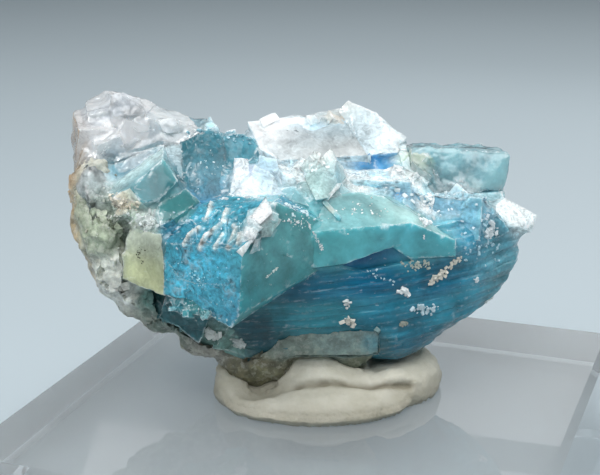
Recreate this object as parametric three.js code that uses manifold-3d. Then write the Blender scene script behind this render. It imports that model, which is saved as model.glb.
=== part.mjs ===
// A blue brucite specimen mounted for display: a cluster of grown-together crystals on a rind of olive
// matrix, bedded in a pad of off-white putty on a clear polished block.
//
// Units are millimetres and +Z is up. The origin is the centre of the block's underside, and the block's
// sides lie along X and Y. The specimen has a frame of its own, turned on the block: x runs along its
// length, y from its front to its back, and z up from the block's top face.
import * as THREE from "three";
import { ConvexGeometry } from "three/addons/geometries/ConvexGeometry.js";
import { mergeVertices } from "three/addons/utils/BufferGeometryUtils.js";
import Module from "manifold-3d";

// Driving dimensions
const BLOCK_SIDE = 50.8;
const BLOCK_THICKNESS = 12.7;
const BLOCK_CHAMFER = 0.7;
const BLOCK_CORNER_RADIUS = 1.2;
const SPECIMEN_TURN = THREE.MathUtils.degToRad(20);
const CLEARANCE = 0.3;

const wasm = await Module();
wasm.setup();

// A small repeatable random source, so that the same specimen grows on every run
function randomSource(seed) {
  let state = seed >>> 0;
  return () => {
    state = (state + 0x6d2b79f5) >>> 0;
    let t = Math.imul(state ^ (state >>> 15), state | 1);
    t ^= t + Math.imul(t ^ (t >>> 7), t | 61);
    return ((t ^ (t >>> 14)) >>> 0) / 4294967296;
  };
}

// A random number between -1 and 1, times a reach
const spread = (random, reach) => (2 * random() - 1) * reach;

// Solids

// The corners and faces of a closed geometry, with shared corners
function welded(geometry) {
  const bare = new THREE.BufferGeometry();
  const loose = geometry.index ? geometry.toNonIndexed() : geometry;
  bare.setAttribute("position", loose.getAttribute("position"));
  return mergeVertices(bare, 1e-4);
}

// A closed geometry as a solid that can be joined and cut
function solidOf(geometry) {
  const shell = welded(geometry);
  return new wasm.Manifold(
    new wasm.Mesh({
      numProp: 3,
      vertProperties: new Float32Array(shell.attributes.position.array),
      triVerts: new Uint32Array(shell.index.array),
    }),
  );
}

function geometryOf(solid) {
  const mesh = solid.getMesh();
  const positions = new Float32Array(mesh.numVert * 3);
  for (let i = 0; i < mesh.numVert; i++) {
    const start = i * mesh.numProp;
    positions.set(mesh.vertProperties.subarray(start, start + 3), i * 3);
  }
  const geometry = new THREE.BufferGeometry();
  geometry.setAttribute("position", new THREE.BufferAttribute(positions, 3));
  geometry.setIndex(new THREE.BufferAttribute(new Uint32Array(mesh.triVerts), 1));
  return geometry;
}

const join = (solids) => solids.reduce((whole, next) => whole.add(next));

// Joining and cutting can leave crumbs: only the largest body is kept
function largestBody(solid) {
  const bodies = solid.decompose();
  return bodies.reduce((best, body) => (body.volume() > best.volume() ? body : best));
}

// Crystals

// A crystal with flat faces, given by its corners, or the room for it: the same shape grown by a reach
function crystal(corners, reach = 0) {
  const points = corners.map(([x, y, z]) => new THREE.Vector3(x, y, z));
  const middle = new THREE.Box3().setFromPoints(points).getCenter(new THREE.Vector3());
  for (const point of points) {
    for (const axis of ["x", "y", "z"]) {
      point[axis] += reach * Math.sign(point[axis] - middle[axis]);
    }
  }
  return solidOf(new ConvexGeometry(points));
}

// The corners of a block: where it sits, its size along its own axes, its turn and the share of an edge that
// is chipped off at one corner
function blockCorners(centre, size, turn, chip = 0.25) {
  const corners = [];
  for (const x of [-0.5, 0.5]) {
    for (const y of [-0.5, 0.5]) {
      for (const z of [-0.5, 0.5]) {
        corners.push(new THREE.Vector3(x, y, z));
      }
    }
  }
  if (chip > 0) {
    const broken = corners.pop();
    for (const axis of ["x", "y", "z"]) {
      const edge = broken.clone();
      edge[axis] -= chip;
      corners.push(edge);
    }
  }
  const place = new THREE.Vector3(...centre);
  const turned = new THREE.Euler(...turn);
  const scale = new THREE.Vector3(...size);
  return corners.map((corner) => corner.multiply(scale).applyEuler(turned).add(place).toArray());
}

// The body is a stack of thin cleavage sheets that rise towards the right end. Each ring is an outline seen
// from above, at its own height: front left, front, front right, right shoulder, right end, back right, back,
// back left and left.
const BODY_RINGS = [
  {
    z: 3.4,
    outline: [
      [5.5, -2], [6.2, -2.6], [7.4, -3], [9, -2.2], [10.6, 0.6],
      [9.5, 4.5], [7.5, 5.5], [6, 5], [5.5, 2],
    ],
  },
  {
    z: 5.2,
    outline: [
      [4, -3.4], [5, -4.2], [7.4, -4.3], [10.8, -2.4], [13.3, 0.8],
      [12, 7.5], [6, 8.5], [2, 7], [3, 3],
    ],
  },
  {
    z: 6.6,
    outline: [
      [-7, -4.2], [-1, -5.4], [7, -4.8], [12.6, -2], [16, 1.6],
      [14.5, 8.5], [3.5, 11], [-6, 9.5], [-8, 3.5],
    ],
  },
  {
    z: 8.4,
    outline: [
      [-11.5, -4.8], [-1, -6.2], [7.5, -5], [14, -1.8], [18.6, 2.4],
      [17, 9.5], [4, 12], [-9, 11], [-12, 4],
    ],
  },
  {
    z: 11,
    outline: [
      [-14, -5.4], [-1, -6.4], [7.5, -5], [14.8, -1.6], [19.9, 3],
      [18.2, 10], [5, 13], [-10, 12.2], [-15, 5],
    ],
  },
  {
    z: 13.8,
    outline: [
      [-14.5, -5.2], [-1, -6.1], [7.5, -4.6], [14.2, -1.5], [19.2, 3],
      [17.8, 9.8], [5, 12.8], [-11, 12.2], [-17, 5],
    ],
  },
  {
    z: 16.2,
    outline: [
      [-14, -4], [-1, -5.4], [7, -3.8], [13, -0.8], [17.2, 3.2],
      [17, 9.5], [5, 12.4], [-11, 12], [-17.5, 5.5],
    ],
  },
];
const SHEET_COUNT = 19;
const SHEET_RAGGEDNESS = 0.36;
const SHEET_OVERLAP = 0.05;
const SHEET_RISE = 0.08;

function outlineAt(z) {
  const upper = Math.max(1, BODY_RINGS.findIndex((ring) => ring.z >= z));
  const below = BODY_RINGS[upper - 1];
  const above = BODY_RINGS[upper];
  const share = (z - below.z) / (above.z - below.z);
  return below.outline.map(([x, y], i) => [
    x + (above.outline[i][0] - x) * share,
    y + (above.outline[i][1] - y) * share,
  ]);
}

function bodySheets(random) {
  const bottom = BODY_RINGS[0].z;
  const thickness = (BODY_RINGS.at(-1).z - bottom) / SHEET_COUNT;
  const rise = new THREE.Matrix4().makeShear(0, SHEET_RISE, 0, 0, 0, 0);
  const sheets = [];
  for (let i = 0; i < SHEET_COUNT; i++) {
    const z = bottom + i * thickness;
    const points = outlineAt(z + thickness / 2).map(([x, y]) => {
      const [dx, dy] = [spread(random, SHEET_RAGGEDNESS), spread(random, SHEET_RAGGEDNESS)];
      return new THREE.Vector2(x + dx, y + dy);
    });
    const sheet = new THREE.ExtrudeGeometry(new THREE.Shape(points), {
      depth: thickness + SHEET_OVERLAP,
      bevelEnabled: false,
    });
    sheet.translate(0, 0, z);
    sheet.applyMatrix4(rise);
    sheets.push(solidOf(sheet));
  }
  return sheets;
}

// The room for the body, ring by ring
function bodyRoom(reach) {
  return BODY_RINGS.slice(1).map((above, i) => {
    const corners = [BODY_RINGS[i], above].flatMap(({ z, outline }) =>
      outline.map(([x, y]) => [x, y, z + SHEET_RISE * x]),
    );
    return crystal(corners, reach);
  });
}

// The large block at the front: its near edge stands between a ridged left face and a smooth right one
const FRONT_BLOCK = [
  [-6.6, -12, 17.9],
  [-7, -11.6, 11.8],
  [-7.7, -11, 10.5],
  [-13.9, -8, 12.6],
  [-13.7, -8, 17.4],
  [-11.4, -5, 19.9],
  [-8.2, -5, 20.9],
  [-3.9, -9.5, 21.6],
  [0.3, -5.2, 18.6],
  [0.8, -5.6, 14.5],
  [-3, -3, 20.6],
  [-1, 0, 19],
  [-1, 0, 13],
  [-12.5, -1, 11],
  [-8, -4, 8.6],
];

// The smooth teal block on the right, with its sloping top facet
const TEAL_BLOCK = [
  [-0.5, -6.7, 14.6],
  [-0.5, -6.5, 17.9],
  [3.6, -6, 14.9],
  [8.5, -4.9, 18.3],
  [12.8, -2.5, 15.9],
  [12.8, -2.6, 14.4],
  [0.8, -2.6, 20.2],
  [3.4, -1.8, 20.4],
  [6.1, -1.6, 19.9],
  [8.4, -2.6, 18.8],
  [-0.5, 2, 19.5],
  [9, 3, 18],
  [13, 3, 15],
  [-0.5, 2, 14],
];

// The blocks at the upper left: a pale one, a teal one with a bevelled edge before it, and a glassy prism
const LEFT_BLOCKS = [
  [
    [-20.4, 0.5, 23.1],
    [-19.9, -1.6, 20.7],
    [-18.6, 1.6, 23.7],
    [-16.2, 1.6, 24.2],
    [-14.5, 2, 24.5],
    [-14.4, 0.4, 24.1],
    [-20.6, 2, 17],
    [-14, 4, 17],
    [-18, -1.6, 16],
  ],
  [
    [-19.6, -2.2, 20.7],
    [-14.3, -0.6, 24.4],
    [-17, -4.7, 21.5],
    [-14.1, -3.1, 23.9],
    [-12.7, -4.1, 22.1],
    [-14.4, -5.7, 20.6],
    [-15.9, -5.7, 20.4],
    [-18.6, -4.4, 20.5],
    [-18.5, -3, 16.5],
    [-13, -3.5, 16.5],
    [-13, 1, 16.5],
  ],
  [
    [-14.7, 2, 24.5],
    [-13, 3, 25],
    [-12.4, -2.6, 21.7],
    [-13.8, -1.2, 22.9],
    [-12.4, 3, 24.4],
    [-14, 4, 19],
    [-12.2, 2, 19],
  ],
];

// The dark block between the left blocks and the front one
const MIDDLE_BLOCK = [
  [-14.5, -5.8, 20.2],
  [-12, -4.2, 21.4],
  [-10.7, -5, 20.4],
  [-12.9, -7, 19.3],
  [-14, -7.2, 18.8],
  [-14.7, -6.2, 19.2],
  [-14, -4, 15],
  [-10, -3, 15],
  [-12, -6.6, 17],
];

// The flat yellow crystal set in the left side
const YELLOW_BLOCK = [
  [-17.3, -5.1, 17.8],
  [-14, -7.5, 18],
  [-13.8, -7.9, 15],
  [-13.9, -7.7, 12.4],
  [-16.3, -6.4, 13.4],
  [-18, -5.2, 13],
  [-16, -2, 17.5],
  [-12.5, -3, 17.5],
  [-12.5, -3, 12],
  [-16.5, -2, 13],
];

// The dark blue ridge that stands behind the front block
const RIDGE_BLOCKS = [
  [
    [-12.9, 2.2, 24.8],
    [-10.9, 2, 25.4],
    [-9.6, 2.2, 25.3],
    [-8.9, 1.6, 24.7],
    [-8.1, -2.2, 20.5],
    [-10.8, -4.4, 20],
    [-12.7, -2.6, 21.2],
    [-12.5, 4.6, 24.2],
    [-9, 4.6, 24.2],
    [-13.5, 3, 15],
    [-8.5, 3, 15],
  ],
  [
    [-9, 1.8, 24.7],
    [-8.3, 2.4, 25],
    [-7.1, 2.4, 24.9],
    [-5.9, 2.6, 24.5],
    [-5.6, 2, 23.8],
    [-5.9, 1.2, 23.2],
    [-7.8, -0.8, 21.6],
    [-5.8, 5, 23.6],
    [-9, 5, 24],
    [-9, 3, 16],
    [-5, 4, 16],
    [-4.6, 0.5, 19],
  ],
];

// The frosted white crystal at the foot of the ridge, with a leaf on its left and another behind it
const WHITE_CRYSTALS = [
  [
    [-8, -4.5, 20.6],
    [-6.2, -3.4, 22.1],
    [-5.8, -1.8, 23],
    [-4.1, -2.2, 22.2],
    [-3.5, -3.6, 20.5],
    [-4.3, -5.1, 20.4],
    [-5.4, -5.3, 20.6],
    [-5, 0.6, 21.6],
    [-7, 0, 18],
    [-3.6, -1, 18],
  ],
  [
    [-7.7, -1.4, 23.5],
    [-6.4, -1.2, 23.5],
    [-6.3, -2.6, 22.3],
    [-7.6, -3.4, 21.2],
    [-8, -4, 20.6],
    [-7.6, 0.4, 21.8],
    [-6.4, 0.4, 20],
  ],
  [
    [-5.4, -0.4, 23.6],
    [-3.8, -0.4, 23.1],
    [-3.5, -1.6, 22.1],
    [-5.6, -1.6, 22.6],
    [-3.4, -2.8, 20],
    [-5.6, 1.4, 22],
    [-3.8, 1.4, 21.6],
    [-4.6, 0, 18],
  ],
];

// The blades that stand at the back, leaning away
const BACK_BLADES = [
  [
    [-6.9, 11.4, 24.2],
    [2.5, 13, 25.2],
    [-5.8, 8.6, 22.1],
    [-3.6, 7, 21.3],
    [5.3, 7.4, 21.7],
    [4.5, 12, 24.6],
    [-6.6, 13.4, 22.5],
    [4, 15, 23.6],
    [-6, 12, 14],
    [5, 13, 14],
    [-4, 6, 16],
    [5, 6, 16],
  ],
  [
    [2.2, 12.6, 24.9],
    [3.3, 13.2, 26],
    [6.1, 12, 25.1],
    [8.9, 11, 22.6],
    [8, 8, 21.8],
    [5, 7.4, 21.7],
    [3, 15, 24.4],
    [8, 13.6, 22.4],
    [8.4, 10, 15],
    [3, 13, 15],
  ],
];

// The pale see-through block at the back right, flat on top, with a narrower one before it
const PALE_BLOCKS = [
  [
    [9.2, 7.6, 22.5],
    [14.4, 6.9, 22.5],
    [19.2, 6.6, 22.3],
    [18.5, 5.7, 17.6],
    [15, 4.8, 17.4],
    [10.6, 5.6, 18],
    [9, 12.4, 21.6],
    [17.6, 12, 21.6],
    [9.5, 12, 14],
    [17.8, 10, 14],
  ],
  [
    [8.2, 7.9, 21.7],
    [11, 7, 22],
    [12, 5.6, 19.2],
    [8.6, 5.4, 19.4],
    [8.4, 10, 21],
    [8, 10, 16],
    [12, 8, 16],
  ],
];

// The white wedge that points out to the right below the pale block
const WEDGE = [
  [13.8, 3.8, 17.4],
  [18.4, 4.8, 18],
  [21.6, 4, 16.5],
  [20.8, 2.9, 15.1],
  [19.2, 1.8, 16],
  [15.6, 1.4, 17],
  [20, 6, 15],
  [14, 6, 14],
  [15, 2, 14.5],
];

// Small pointed crystals between the white crystal and the teal block
const POINTED_CRYSTALS = [
  [
    [1.3, 0.4, 23.9],
    [0, 0, 22.7],
    [-1.4, -1, 22],
    [-0.2, -4, 20.2],
    [2, -2.4, 20.2],
    [2.9, 1, 21.6],
    [1, 2.6, 21],
    [0, 0, 17],
    [2.6, 1.5, 17],
  ],
  [
    [-1.6, 1.6, 22.9],
    [-0.6, 1, 22.6],
    [-2.6, -0.4, 21.6],
    [-1.9, -2.2, 21.5],
    [-0.6, -1.6, 21.4],
    [-2.6, 2.4, 20.6],
    [-1, 2, 17],
    [-2.4, -2, 18],
  ],
  [
    [-3.4, -3.2, 21],
    [-2, -3.4, 21.2],
    [-0.8, -4.6, 19.8],
    [-2.6, -4.8, 20.4],
    [-2.2, -1, 20.6],
    [-1, -2, 17],
  ],
];

// Broken blocks under the front left, and those that fill the back, out of the front view
const LESSER_BLOCKS = [
  blockCorners([-7.6, -3, 7], [4, 3.4, 2.8], [0.2, 0.5, 0.25]),
  blockCorners([-11.8, -3.6, 9.8], [4.4, 4, 3.4], [0.3, 0.4, -0.3]),
  blockCorners([-13.5, 8.5, 19.5], [8.5, 6.5, 9], [0.25, -0.15, 0.3]),
  blockCorners([-17, 5.4, 21.2], [5, 6, 7], [-0.2, 0.25, -0.2]),
  blockCorners([-4.5, 11.2, 18.6], [7.5, 4.4, 7.2], [0.15, 0.2, -0.25]),
  blockCorners([12.6, 10.4, 16.6], [8.2, 4.6, 7], [-0.2, 0.1, -0.3]),
  blockCorners([0.6, 4.6, 17.6], [16, 9, 6.4], [-0.06, 0.04, 0.05]),
  blockCorners([11.4, 3.2, 16.8], [9.4, 6.4, 4], [-0.22, 0.06, -0.2]),
];

// The colourless cap at the upper left
const CAP_CRYSTALS = [
  blockCorners([-21.6, 3, 24.6], [3, 5, 3.4], [0.15, 0.12, 0.25]),
  blockCorners([-21.6, 2.6, 22.6], [2.5, 4.6, 2.8], [0.1, 0.35, 0.2]),
  blockCorners([-20.4, 4.4, 26.1], [2.8, 4.6, 3], [0.2, -0.2, 0.2]),
  blockCorners([-19, 5, 26.9], [2.6, 4, 2.7], [-0.1, 0.15, 0.5]),
  blockCorners([-17.2, 4.6, 26.1], [2.6, 4.4, 2.3], [0.2, 0.08, -0.2]),
  blockCorners([-15.4, 4.4, 25.6], [2.6, 4.2, 2.1], [0.1, 0.28, 0.15]),
  blockCorners([-13.5, 4.2, 25.2], [2.4, 3.8, 2.1], [0.2, 0.1, 0.4]),
  blockCorners([-12.1, 3.6, 24.3], [1.6, 2.6, 1.8], [0.3, 0.5, 0.4]),
  blockCorners([-19.8, 1.6, 24.4], [2.6, 2.8, 2.2], [0.5, -0.2, 0.4]),
  blockCorners([-17.6, 2.8, 25], [2.6, 3, 2], [-0.3, 0.4, 0.3]),
];

const CRYSTALS = [
  FRONT_BLOCK,
  TEAL_BLOCK,
  ...LEFT_BLOCKS,
  MIDDLE_BLOCK,
  YELLOW_BLOCK,
  ...RIDGE_BLOCKS,
  ...WHITE_CRYSTALS,
  ...BACK_BLADES,
  ...PALE_BLOCKS,
  WEDGE,
  ...POINTED_CRYSTALS,
  ...LESSER_BLOCKS,
  ...CAP_CRYSTALS,
];

// Low wavy ridges down the front block's left face
const RIDGE_LINES = [
  { from: [-11.2, -7, 19.1], to: [-10.6, -9, 17.8] },
  { from: [-9, -7.2, 20], to: [-9.9, -9.9, 18] },
  { from: [-7.6, -8, 20.1], to: [-8.6, -10.7, 18] },
  { from: [-6.2, -8.8, 20.4], to: [-7.4, -11.2, 18.2] },
];
const RIDGE_STEPS = 4;
const RIDGE_WAVE = 0.35;
const RIDGE_HALF_WIDTH = 0.3;

function ridges(random) {
  return RIDGE_LINES.flatMap(({ from, to }) => {
    const start = new THREE.Vector3(...from);
    const end = new THREE.Vector3(...to);
    const knots = Array.from({ length: RIDGE_STEPS + 1 }, (_, i) => {
      const knot = start.clone().lerp(end, i / RIDGE_STEPS);
      knot.x += spread(random, RIDGE_WAVE);
      return knot;
    });
    return knots.slice(1).map((knot, i) =>
      crystal(
        [knots[i], knot].flatMap(({ x, y, z }) => [
          [x - RIDGE_HALF_WIDTH, y, z],
          [x + RIDGE_HALF_WIDTH, y, z],
          [x, y - RIDGE_HALF_WIDTH, z + RIDGE_HALF_WIDTH],
          [x, y + RIDGE_HALF_WIDTH, z - RIDGE_HALF_WIDTH],
        ]),
      ),
    );
  });
}

// Frost: small crystals strewn between two corners of a patch, with how many and how large they are
const FROST_PATCHES = [
  { count: 24, low: [3, 0.5, 19.4], high: [9.5, 5.5, 20.4], smallest: 0.7, largest: 2.2 },
  { count: 20, low: [9, 0.5, 17.6], high: [14.6, 4.6, 18.2], smallest: 0.7, largest: 2 },
  { count: 8, low: [14.2, 0.4, 16.4], high: [18, 2.6, 16.8], smallest: 0.6, largest: 1.4 },
  { count: 12, low: [-6.4, -11.6, 18.2], high: [-4, -9.4, 21.4], smallest: 0.5, largest: 1 },
  { count: 8, low: [-12.6, 2, 24.9], high: [-6.8, 3, 24.9], smallest: 0.5, largest: 1 },
  { count: 9, low: [-19.4, -3.8, 19.4], high: [-15, -5, 19.2], smallest: 0.6, largest: 1.2 },
  { count: 8, low: [-17, -5, 18.2], high: [-14.4, -6.6, 18.4], smallest: 0.5, largest: 1 },
  { count: 9, low: [-13, -8, 11.9], high: [-8.2, -10.6, 10.8], smallest: 0.5, largest: 0.9 },
  { count: 10, low: [-6.4, 11.2, 23.8], high: [7, 12.6, 24.4], smallest: 0.7, largest: 1.5 },
  { count: 20, low: [-22.4, 0.8, 22.4], high: [-19, 3.2, 26.4], smallest: 0.8, largest: 1.7 },
  { count: 10, low: [-18.4, 2.6, 25.8], high: [-12.6, 3.4, 25], smallest: 0.7, largest: 1.4 },
];

function frost(random, { count, low, high, smallest, largest }) {
  const grains = [];
  for (let i = 0; i < count; i++) {
    const share = random();
    const centre = low.map((from, axis) => {
      const along = axis === 0 ? share : 0.5 * share + 0.5 * random();
      return from + (high[axis] - from) * along;
    });
    const side = smallest + (largest - smallest) * random() ** 2;
    const size = [side * 1.5, side, side * 0.8].map((length) => length * (0.75 + 0.5 * random()));
    const turn = [0, 1, 2].map(() => spread(random, 1.2));
    grains.push(crystal(blockCorners(centre, size, turn, 0)));
  }
  return grains;
}

function bruciteCluster() {
  const random = randomSource(7);
  const grown = [
    ...bodySheets(random),
    ...CRYSTALS.map((corners) => crystal(corners)),
    ...ridges(random),
    ...FROST_PATCHES.flatMap((patch) => frost(random, patch)),
  ];
  const ledgeRoom = join([ledge(CLEARANCE, 0), ledge(CLEARANCE, LEDGE_OPENING)]);
  return largestBody(join(grown).subtract(ledgeRoom));
}

// Matrix: rough lumps of olive rock down the left side and under the cluster, with a flat grey ledge in front
const LUMPS = [
  { centre: [-20.5, 1, 20], size: [5.2, 9, 6.6], turn: 0 },
  { centre: [-20, 0.6, 16.4], size: [5.6, 9.4, 7], turn: -0.1 },
  { centre: [-18.4, 0.5, 13], size: [6, 9.6, 6.4], turn: -0.4 },
  { centre: [-16.2, 0.5, 10.6], size: [6, 9, 5.8], turn: -0.6 },
  { centre: [-13.4, 0.4, 8.9], size: [6.6, 9, 5], turn: -0.3 },
  { centre: [-10.2, 0.2, 7], size: [6, 8.4, 5.4], turn: -0.6 },
  { centre: [-5.6, -1.2, 4], size: [7.4, 6.4, 5.2], turn: 0 },
  { centre: [-2, 1.4, 5.2], size: [10, 9, 4.4], turn: 0 },
  { centre: [3.4, -0.6, 4.8], size: [6.6, 7, 3], turn: 0 },
];
const LUMP_DETAIL = 2;
const LUMP_ROUGHNESS = 0.13;
const LEDGE_FRONT = -5.4;
const LEDGE_OPENING = 4;

// The flat ledge, or the room for it in the cluster: grown by a reach and open to the front
const ledge = (reach, opening) =>
  crystal(
    [
      [-2, LEDGE_FRONT - opening, 8.2],
      [5.7, LEDGE_FRONT - opening, 8.2],
      [5.9, LEDGE_FRONT - opening + 0.3, 5.4],
      [-6.4, LEDGE_FRONT - opening + 0.5, 5],
      [-3.8, LEDGE_FRONT - opening + 0.2, 6.9],
      [-2, 2, 8.2],
      [5.7, 2, 8.2],
      [5.7, 2, 4.4],
      [-6.4, 2, 4.4],
    ],
    reach,
  );

// A ball of rock or putty with a rough surface, or the room for it: the same shape grown by a reach
function lump({ centre, size, turn = 0 }, seed, detail, roughness, reach = 0) {
  const random = randomSource(seed);
  const ball = welded(new THREE.IcosahedronGeometry(0.5, detail));
  const position = ball.getAttribute("position");
  for (let i = 0; i < position.count; i++) {
    const swell = 1 + spread(random, roughness);
    position.setXYZ(i, position.getX(i) * swell, position.getY(i) * swell, position.getZ(i) * swell);
  }
  ball.scale(...size.map((length) => length + 2 * reach));
  ball.rotateY(turn);
  ball.translate(...centre);
  return solidOf(ball);
}

const rockLumps = (reach = 0) =>
  LUMPS.map((shape, i) => lump(shape, 21 + i, LUMP_DETAIL, LUMP_ROUGHNESS, reach));

// The room for the whole cluster
const clusterRoom = () =>
  join([
    ...bodyRoom(SHEET_RAGGEDNESS + CLEARANCE),
    ...CRYSTALS.map((corners) => crystal(corners, CLEARANCE)),
  ]);

const matrixRock = (room) => largestBody(join(rockLumps()).subtract(room).add(ledge(0, 0)));

// Putty: a pad pressed out under the specimen, of a high back lobe, a front lobe folded against it and a third
// lobe squeezed up on the left, flat where it lies on the block
const PUTTY_LOBES = [
  { centre: [2.2, 0.6, 1.5], size: [20.2, 14.4, 7.2] },
  { centre: [0, -3.5, 0.9], size: [18.2, 11.2, 3.8] },
  { centre: [-7.3, -2, 1.6], size: [5, 7, 4.6] },
];
const PUTTY_DETAIL = 3;
const PUTTY_ROUGHNESS = 0.012;

function puttyPad(room) {
  const lobes = PUTTY_LOBES.map((shape, i) => lump(shape, 5 + i, PUTTY_DETAIL, PUTTY_ROUGHNESS));
  const below = new THREE.BoxGeometry(BLOCK_SIDE, BLOCK_SIDE, BLOCK_THICKNESS);
  below.translate(0, 0, -BLOCK_THICKNESS / 2);
  const rock = join([...rockLumps(CLEARANCE), ledge(CLEARANCE, 0)]);
  return largestBody(join(lobes).subtract(solidOf(below)).subtract(room).subtract(rock));
}

// The clear block, with polished chamfers on every edge
function displayBlock() {
  const corner = BLOCK_SIDE / 2 - BLOCK_CHAMFER - BLOCK_CORNER_RADIUS;
  const outline = new THREE.Shape();
  [
    [corner, -corner, -Math.PI / 2],
    [corner, corner, 0],
    [-corner, corner, Math.PI / 2],
    [-corner, -corner, Math.PI],
  ].forEach(([x, y, from]) => {
    outline.absarc(x, y, BLOCK_CORNER_RADIUS, from, from + Math.PI / 2, false);
  });
  const geometry = new THREE.ExtrudeGeometry(outline, {
    depth: BLOCK_THICKNESS - 2 * BLOCK_CHAMFER,
    bevelThickness: BLOCK_CHAMFER,
    bevelSize: BLOCK_CHAMFER,
    bevelSegments: 1,
    curveSegments: 3,
  });
  geometry.translate(0, 0, BLOCK_CHAMFER);
  return solidOf(geometry);
}

// Assembly

function piece(name, solid, look) {
  const mesh = new THREE.Mesh(geometryOf(solid), new THREE.MeshStandardMaterial({ metalness: 0, ...look }));
  mesh.name = name;
  return mesh;
}

const room = clusterRoom();

const specimen = new THREE.Group();
specimen.position.z = BLOCK_THICKNESS;
specimen.rotation.z = SPECIMEN_TURN;
specimen.add(
  piece("brucite_crystals", bruciteCluster(), { color: 0x4f9bb0, roughness: 0.3, flatShading: true }),
  piece("matrix_rock", matrixRock(room), { color: 0x8a8468, roughness: 0.85, flatShading: true }),
  piece("mounting_putty", puttyPad(room), { color: 0xcfcabb, roughness: 0.8 }),
);

const part = new THREE.Group();
part.add(
  specimen,
  piece("display_block", displayBlock(), {
    color: 0xe4ebee,
    roughness: 0.05,
    opacity: 0.3,
    transparent: true,
  }),
);

export default part;
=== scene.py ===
import itertools
import math

import bmesh
import bpy
import numpy as np
from mathutils import Euler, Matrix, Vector, noise
from mathutils.bvhtree import BVHTree


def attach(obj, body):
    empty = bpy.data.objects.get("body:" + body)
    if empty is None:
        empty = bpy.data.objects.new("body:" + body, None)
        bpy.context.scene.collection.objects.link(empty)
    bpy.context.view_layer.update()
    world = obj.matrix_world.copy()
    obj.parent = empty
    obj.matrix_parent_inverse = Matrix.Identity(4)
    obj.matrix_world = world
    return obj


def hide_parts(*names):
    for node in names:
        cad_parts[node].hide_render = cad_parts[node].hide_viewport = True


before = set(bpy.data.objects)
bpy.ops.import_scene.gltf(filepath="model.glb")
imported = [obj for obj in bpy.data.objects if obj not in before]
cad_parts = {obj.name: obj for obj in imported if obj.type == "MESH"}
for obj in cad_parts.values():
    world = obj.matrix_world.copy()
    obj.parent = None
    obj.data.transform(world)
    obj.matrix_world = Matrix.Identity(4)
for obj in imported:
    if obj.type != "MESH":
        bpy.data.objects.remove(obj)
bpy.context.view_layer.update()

# Display block
# A square block of clear cast acrylic, sawn from sheet 12.7 mm thick and polished on every face. Its upright
# corners are rounded and its edges chamfered. It stands on the table and carries everything else.
BLOCK_SIDE = 0.0508
BLOCK_THICKNESS = 0.0127
BLOCK_CORNER = 0.0019
BLOCK_CHAMFER = 0.0007


def take(piece):
    """Makes piece the one selected and active object."""
    bpy.ops.object.select_all(action="DESELECT")
    piece.select_set(True)
    bpy.context.view_layer.objects.active = piece


def select_edges(piece, wanted):
    """In edit mode, selects the edges for which wanted(edge) is true."""
    mesh = bmesh.from_edit_mesh(piece.data)
    bpy.ops.mesh.select_mode(type="EDGE")
    bpy.ops.mesh.select_all(action="DESELECT")
    for edge in mesh.edges:
        edge.select = wanted(edge)
    mesh.select_flush_mode()
    bmesh.update_edit_mesh(piece.data)


def linear(hex_colour):
    """The linear colour that the shaders take, from an sRGB hex value."""
    shares = [int(hex_colour[i : i + 2], 16) / 255 for i in (1, 3, 5)]
    return (*[s / 12.92 if s <= 0.04045 else ((s + 0.055) / 1.055) ** 2.4 for s in shares], 1.0)


def node(tree, kind, settings, inputs):
    """Adds a node to tree, sets its settings, and sets or links its inputs."""
    made = tree.nodes.new("ShaderNode" + kind)
    for name, value in settings.items():
        setattr(made, name, value)
    for name, value in inputs.items():
        if isinstance(value, bpy.types.NodeSocket):
            tree.links.new(value, made.inputs[name])
        else:
            made.inputs[name].default_value = value
    return made


def finish_of(piece, name):
    """Gives piece an empty material, and returns its node tree."""
    material = bpy.data.materials.new(name)
    material.use_nodes = True
    material.node_tree.nodes.clear()
    piece.data.materials.append(material)
    return material.node_tree


bpy.ops.object.select_all(action="DESELECT")
bpy.ops.mesh.primitive_cube_add(size=1, location=(0, 0, BLOCK_THICKNESS / 2))
block = bpy.context.object
block.name = "acrylic_block"
bpy.ops.transform.resize(value=(BLOCK_SIDE, BLOCK_SIDE, BLOCK_THICKNESS))
bpy.ops.object.transform_apply(location=True, rotation=True, scale=True)
bpy.ops.object.mode_set(mode="EDIT")
select_edges(block, lambda e: abs(e.verts[0].co.z - e.verts[1].co.z) > BLOCK_THICKNESS / 2)
bpy.ops.mesh.bevel(offset=BLOCK_CORNER, segments=8)
select_edges(block, lambda e: abs(e.verts[0].co.z - e.verts[1].co.z) < BLOCK_THICKNESS / 2)
bpy.ops.mesh.bevel(offset=BLOCK_CHAMFER, segments=1)
bpy.ops.object.mode_set(mode="OBJECT")
bpy.ops.object.shade_smooth_by_angle(angle=math.radians(25))

# Cast acrylic: clear and glossy, with faint wipe marks that only show as a slight softening of the gloss
tree = finish_of(block, "cast_acrylic_polished")
place = node(tree, "TexCoord", {}, {})
wipes = node(tree, "TexNoise", {}, {"Vector": place.outputs["Object"], "Scale": 1000 / 9, "Detail": 5})
haze = node(tree, "MapRange", {}, {"Value": wipes.outputs[0], 1: 0.45, 2: 0.75, 3: 0.015, 4: 0.09})
acrylic = node(
    tree,
    "BsdfPrincipled",
    {},
    {
        "Base Color": linear("#fdfefe"),
        "Roughness": haze.outputs[0],
        "IOR": 1.49,
        "Transmission Weight": 0.87,
    },
)
node(tree, "OutputMaterial", {}, {"Surface": acrylic.outputs[0]})
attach(block, "root")
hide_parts("display_block")

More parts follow.
